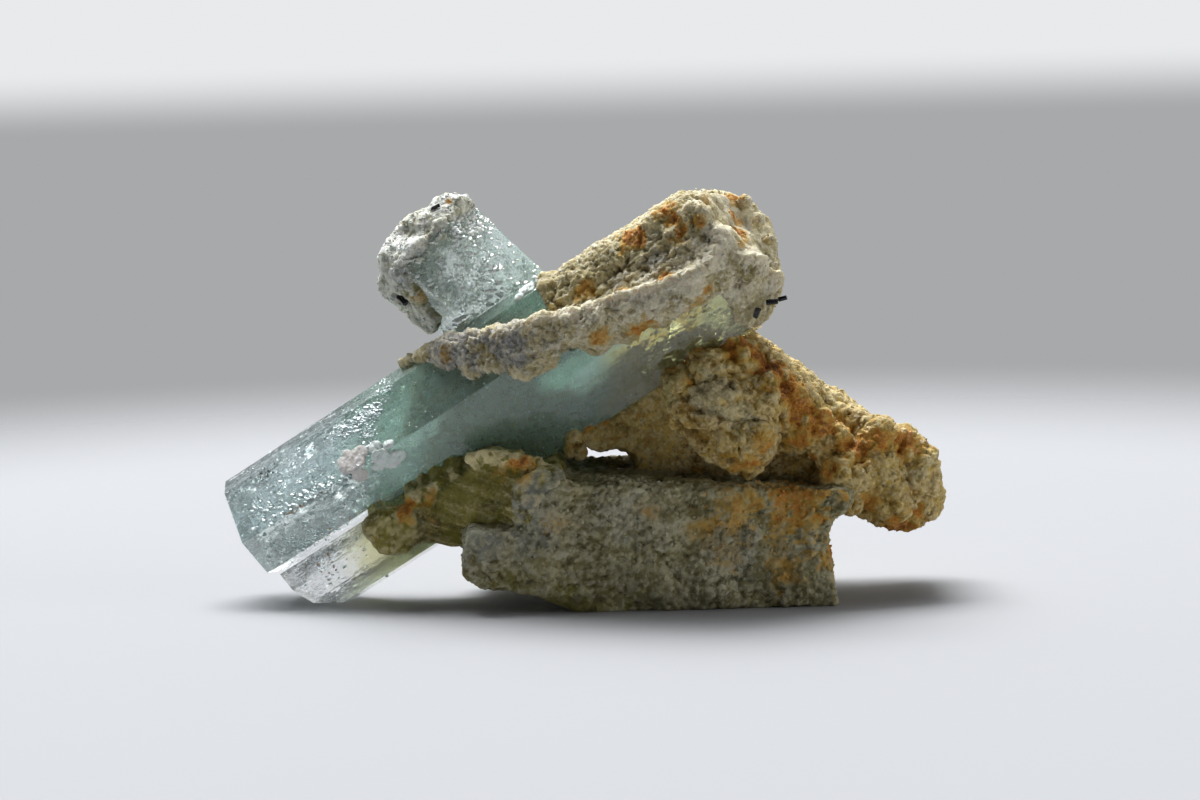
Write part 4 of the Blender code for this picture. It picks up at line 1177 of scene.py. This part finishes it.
# What the small things are made of: name, two tones, roughness, size of the patches in millimetres and wax.
# Grains are matt and show as white, dark or rusty dots; broken steps are glossy and glint.
GRAIN_LOOKS = {
    "white": ("white inclusions", "#FAFCFC", "#E8F0EE", 0.5),
    "snow": ("snow-white grains", "#FFFFFF", "#F0F6F6", 0.5, 0.3, 1.0),
    "glossy": ("glossy broken steps", "#D8E8E8", "#B8CCCC", 0.14),
    "bright": ("glossy white steps", "#FFFFFF", "#F0F8F6", 0.14),
    "dark": ("dark inclusions", "#1E1C18", "#3A3426", 0.4),
    "straw": ("straw-yellow grains", "#F4ECA8", "#D8C468", 0.5),
    "brown": ("iron stained inclusions", "#9C7030", "#604218", 0.5),
    "ochre": ("ochre flakes", "#D0A040", "#A87828", 0.5),
}
# Grains inside a prism: piece, prism, look, count, smallest, largest, seed, where and number of veils.
INNER_GRAINS = (
    ("main_veils", MAIN, "white", 8000, 0.05, 0.15, 41, lambda p: p.x < -7.0, 44),
    ("main_specks", MAIN, "dark", 420, 0.04, 0.13, 42, lambda p: p.x < -6.0),
    ("crossing_veils", CROSSING, "snow", 6000, 0.08, 0.24, 43, None, 36),
    ("lower_veils", LOWER, "white", 1200, 0.04, 0.1, 46, None, 10),
)
# Grains and steps on a prism's front: piece, prism, look, lean, count, smallest, largest, seed, where they lie,
# or how far they spread from a path of x and z.
FACE_GRAINS = (
    ("face_specks", MAIN, "dark", None, 300, 0.03, 0.08, 44, lambda p: -13.0 < p.x < 1.0 and p.z > 8.0),
    ("stained_specks", MAIN, "brown", None, 90, 0.04, 0.12, 45, lambda p: -12.5 < p.x < -5.0 and p.z > 7.0),
    ("seam_flakes", MAIN, "ochre", None, 70, 0.05, 0.18, 47,
     None, 0.08, ((-18.7, 5.95), (-17.5, 6.6), (-16.2, 7.35))),
    ("lower_seam_flakes", MAIN, "ochre", None, 60, 0.05, 0.18, 48,
     None, 0.10, ((-16.6, 4.3), (-13.8, 6.0), (-12.2, 7.1))),
    ("pale_prism_flakes", LOWER, "ochre", None, 30, 0.06, 0.2, 49,
     None, 0.22, ((-16.6, 2.6), (-15.9, 3.2), (-16.2, 1.6))),
    ("strip_grains", LOWER, "straw", None, 600, 0.05, 0.2, 64, None, 0.3, ((-12.6, 6.1), (-9.2, 8.2))),
    ("dark_cluster", MAIN, "dark", None, 26, 0.06, 0.22, 50, None, 0.24, ((-20.3, 8.3), (-20.0, 8.5))),
    ("rust_cluster", MAIN, "ochre", None, 14, 0.06, 0.16, 51, None, 0.3, ((-20.7, 8.0), (-20.3, 8.4))),
    ("main_glitter", MAIN, "glossy", GLITTER, 300, 0.03, 0.2, 55, lambda p: p.x < -9.0),
    ("lower_edge_glitter", MAIN, "glossy", GLITTER, 420, 0.04, 0.4, 61,
     None, 0.7, ((-21.4, 6.2), (-19.0, 6.4), (-16.0, 7.6), (-13.6, 8.8))),
    ("foot_glitter", MAIN, "glossy", GLITTER, 160, 0.04, 0.3, 62,
     None, 0.4, ((-19.8, 4.0), (-17.6, 4.0), (-15.4, 5.2))),
    ("inner_glitter", MAIN, "glossy", GLITTER, 160, 0.03, 0.14, 56, lambda p: p.x > -9.0),
    ("lower_glitter", LOWER, "glossy", GLITTER, 110, 0.03, 0.24, 57),
    ("crossing_glitter", CROSSING, "bright", GLITTER, 900, 0.04, 0.4, 58),
    ("crossing_frost", CROSSING, "snow", None, 1800, 0.04, 0.16, 63),
    ("crossing_cluster", CROSSING, "bright", GLITTER, 220, 0.06, 0.44, 59,
     None, 0.5, ((-6.9, 24.5), (-5.6, 24.3), (-7.4, 23.2))),
    ("glint_cluster", MAIN, "glossy", GLITTER, 420, 0.06, 0.36, 52,
     None, 0.22, ((-15.2, 10.9), (-13.9, 11.7), (-12.9, 12.5))),
    ("grain_column", MAIN, "glossy", GLITTER, 300, 0.05, 0.26, 53,
     None, 0.26, ((-11.9, 14.3), (-12.7, 12.7), (-13.3, 11.0), (-13.2, 10.2))),
    ("patch_grains", MAIN, "snow", None, 420, 0.05, 0.24, 54, None, 0.42, ((-13.1, 10.2), (-12.0, 9.3))),
)


class SPECIMEN_OT_inclusions(bpy.types.Operator):
    """Adds the white, dark and rusty specks inside the prisms"""
    bl_idname = "specimen.inclusions"
    bl_label = "Inclusions"

    def execute(self, context):
        looks = {name: plain_material(*look) for name, look in GRAIN_LOOKS.items()}
        for name, host, look, *settings in INNER_GRAINS:
            dress(specks(name, host, *settings), looks[look], smooth=False)
        for name, host, look, *settings in FACE_GRAINS:
            dress(surface_specks(name, host, *settings), looks[look], smooth=False)
        return {"FINISHED"}


class SPECIMEN_OT_needles(bpy.types.Operator):
    """Gives the black needles their ribbed faces and gloss"""
    bl_idname = "specimen.needles"
    bl_label = "Schorl needles"

    def execute(self, context):
        # jet black, with a sharp highlight on each rib
        black = plain_material("glossy schorl", "#0A0A0C", "#17171B", 0.2, 0.5)
        names = sorted(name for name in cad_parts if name.startswith("schorl"))
        for index, node in enumerate(names):
            dress(needle(node, f"needle_{index + 1}", 50 + index), black, node, smooth=False)
        return {"FINISHED"}


class SPECIMEN_PT_panel(bpy.types.Panel):
    """Lists the steps that build the specimen"""
    bl_idname = "SPECIMEN_PT_panel"
    bl_label = "Aquamarine Specimen"
    bl_space_type = "VIEW_3D"
    bl_region_type = "UI"
    bl_category = "Specimen"

    def draw(self, context):
        for step in STEPS:
            self.layout.operator(step.bl_idname)
        for group in GROUPS:
            settings = getattr(context.scene, group)
            for name in settings.bl_rna.properties.keys():
                if name not in ("rna_type", "name"):
                    self.layout.prop(settings, name)


STEPS = (SPECIMEN_OT_stage, SPECIMEN_OT_feldspar, SPECIMEN_OT_crystals, SPECIMEN_OT_inclusions,
         SPECIMEN_OT_needles)
GROUPS = {"specimen_stage": StageSettings, "specimen_crystal": CrystalSettings, "specimen_rock": RockSettings}


def register():
    for group in GROUPS.values():
        bpy.utils.register_class(group)
    for name, group in GROUPS.items():
        setattr(bpy.types.Scene, name, PointerProperty(type=group))
    for step in STEPS + (SPECIMEN_PT_panel,):
        bpy.utils.register_class(step)


def unregister():
    for step in reversed(STEPS + (SPECIMEN_PT_panel,)):
        bpy.utils.unregister_class(step)
    for name, group in GROUPS.items():
        delattr(bpy.types.Scene, name)
        bpy.utils.unregister_class(group)


def main():
    register()
    bpy.ops.specimen.stage()
    bpy.ops.specimen.feldspar()
    bpy.ops.specimen.crystals()
    bpy.ops.specimen.inclusions()
    bpy.ops.specimen.needles()


if __name__ == "__main__":
    main()
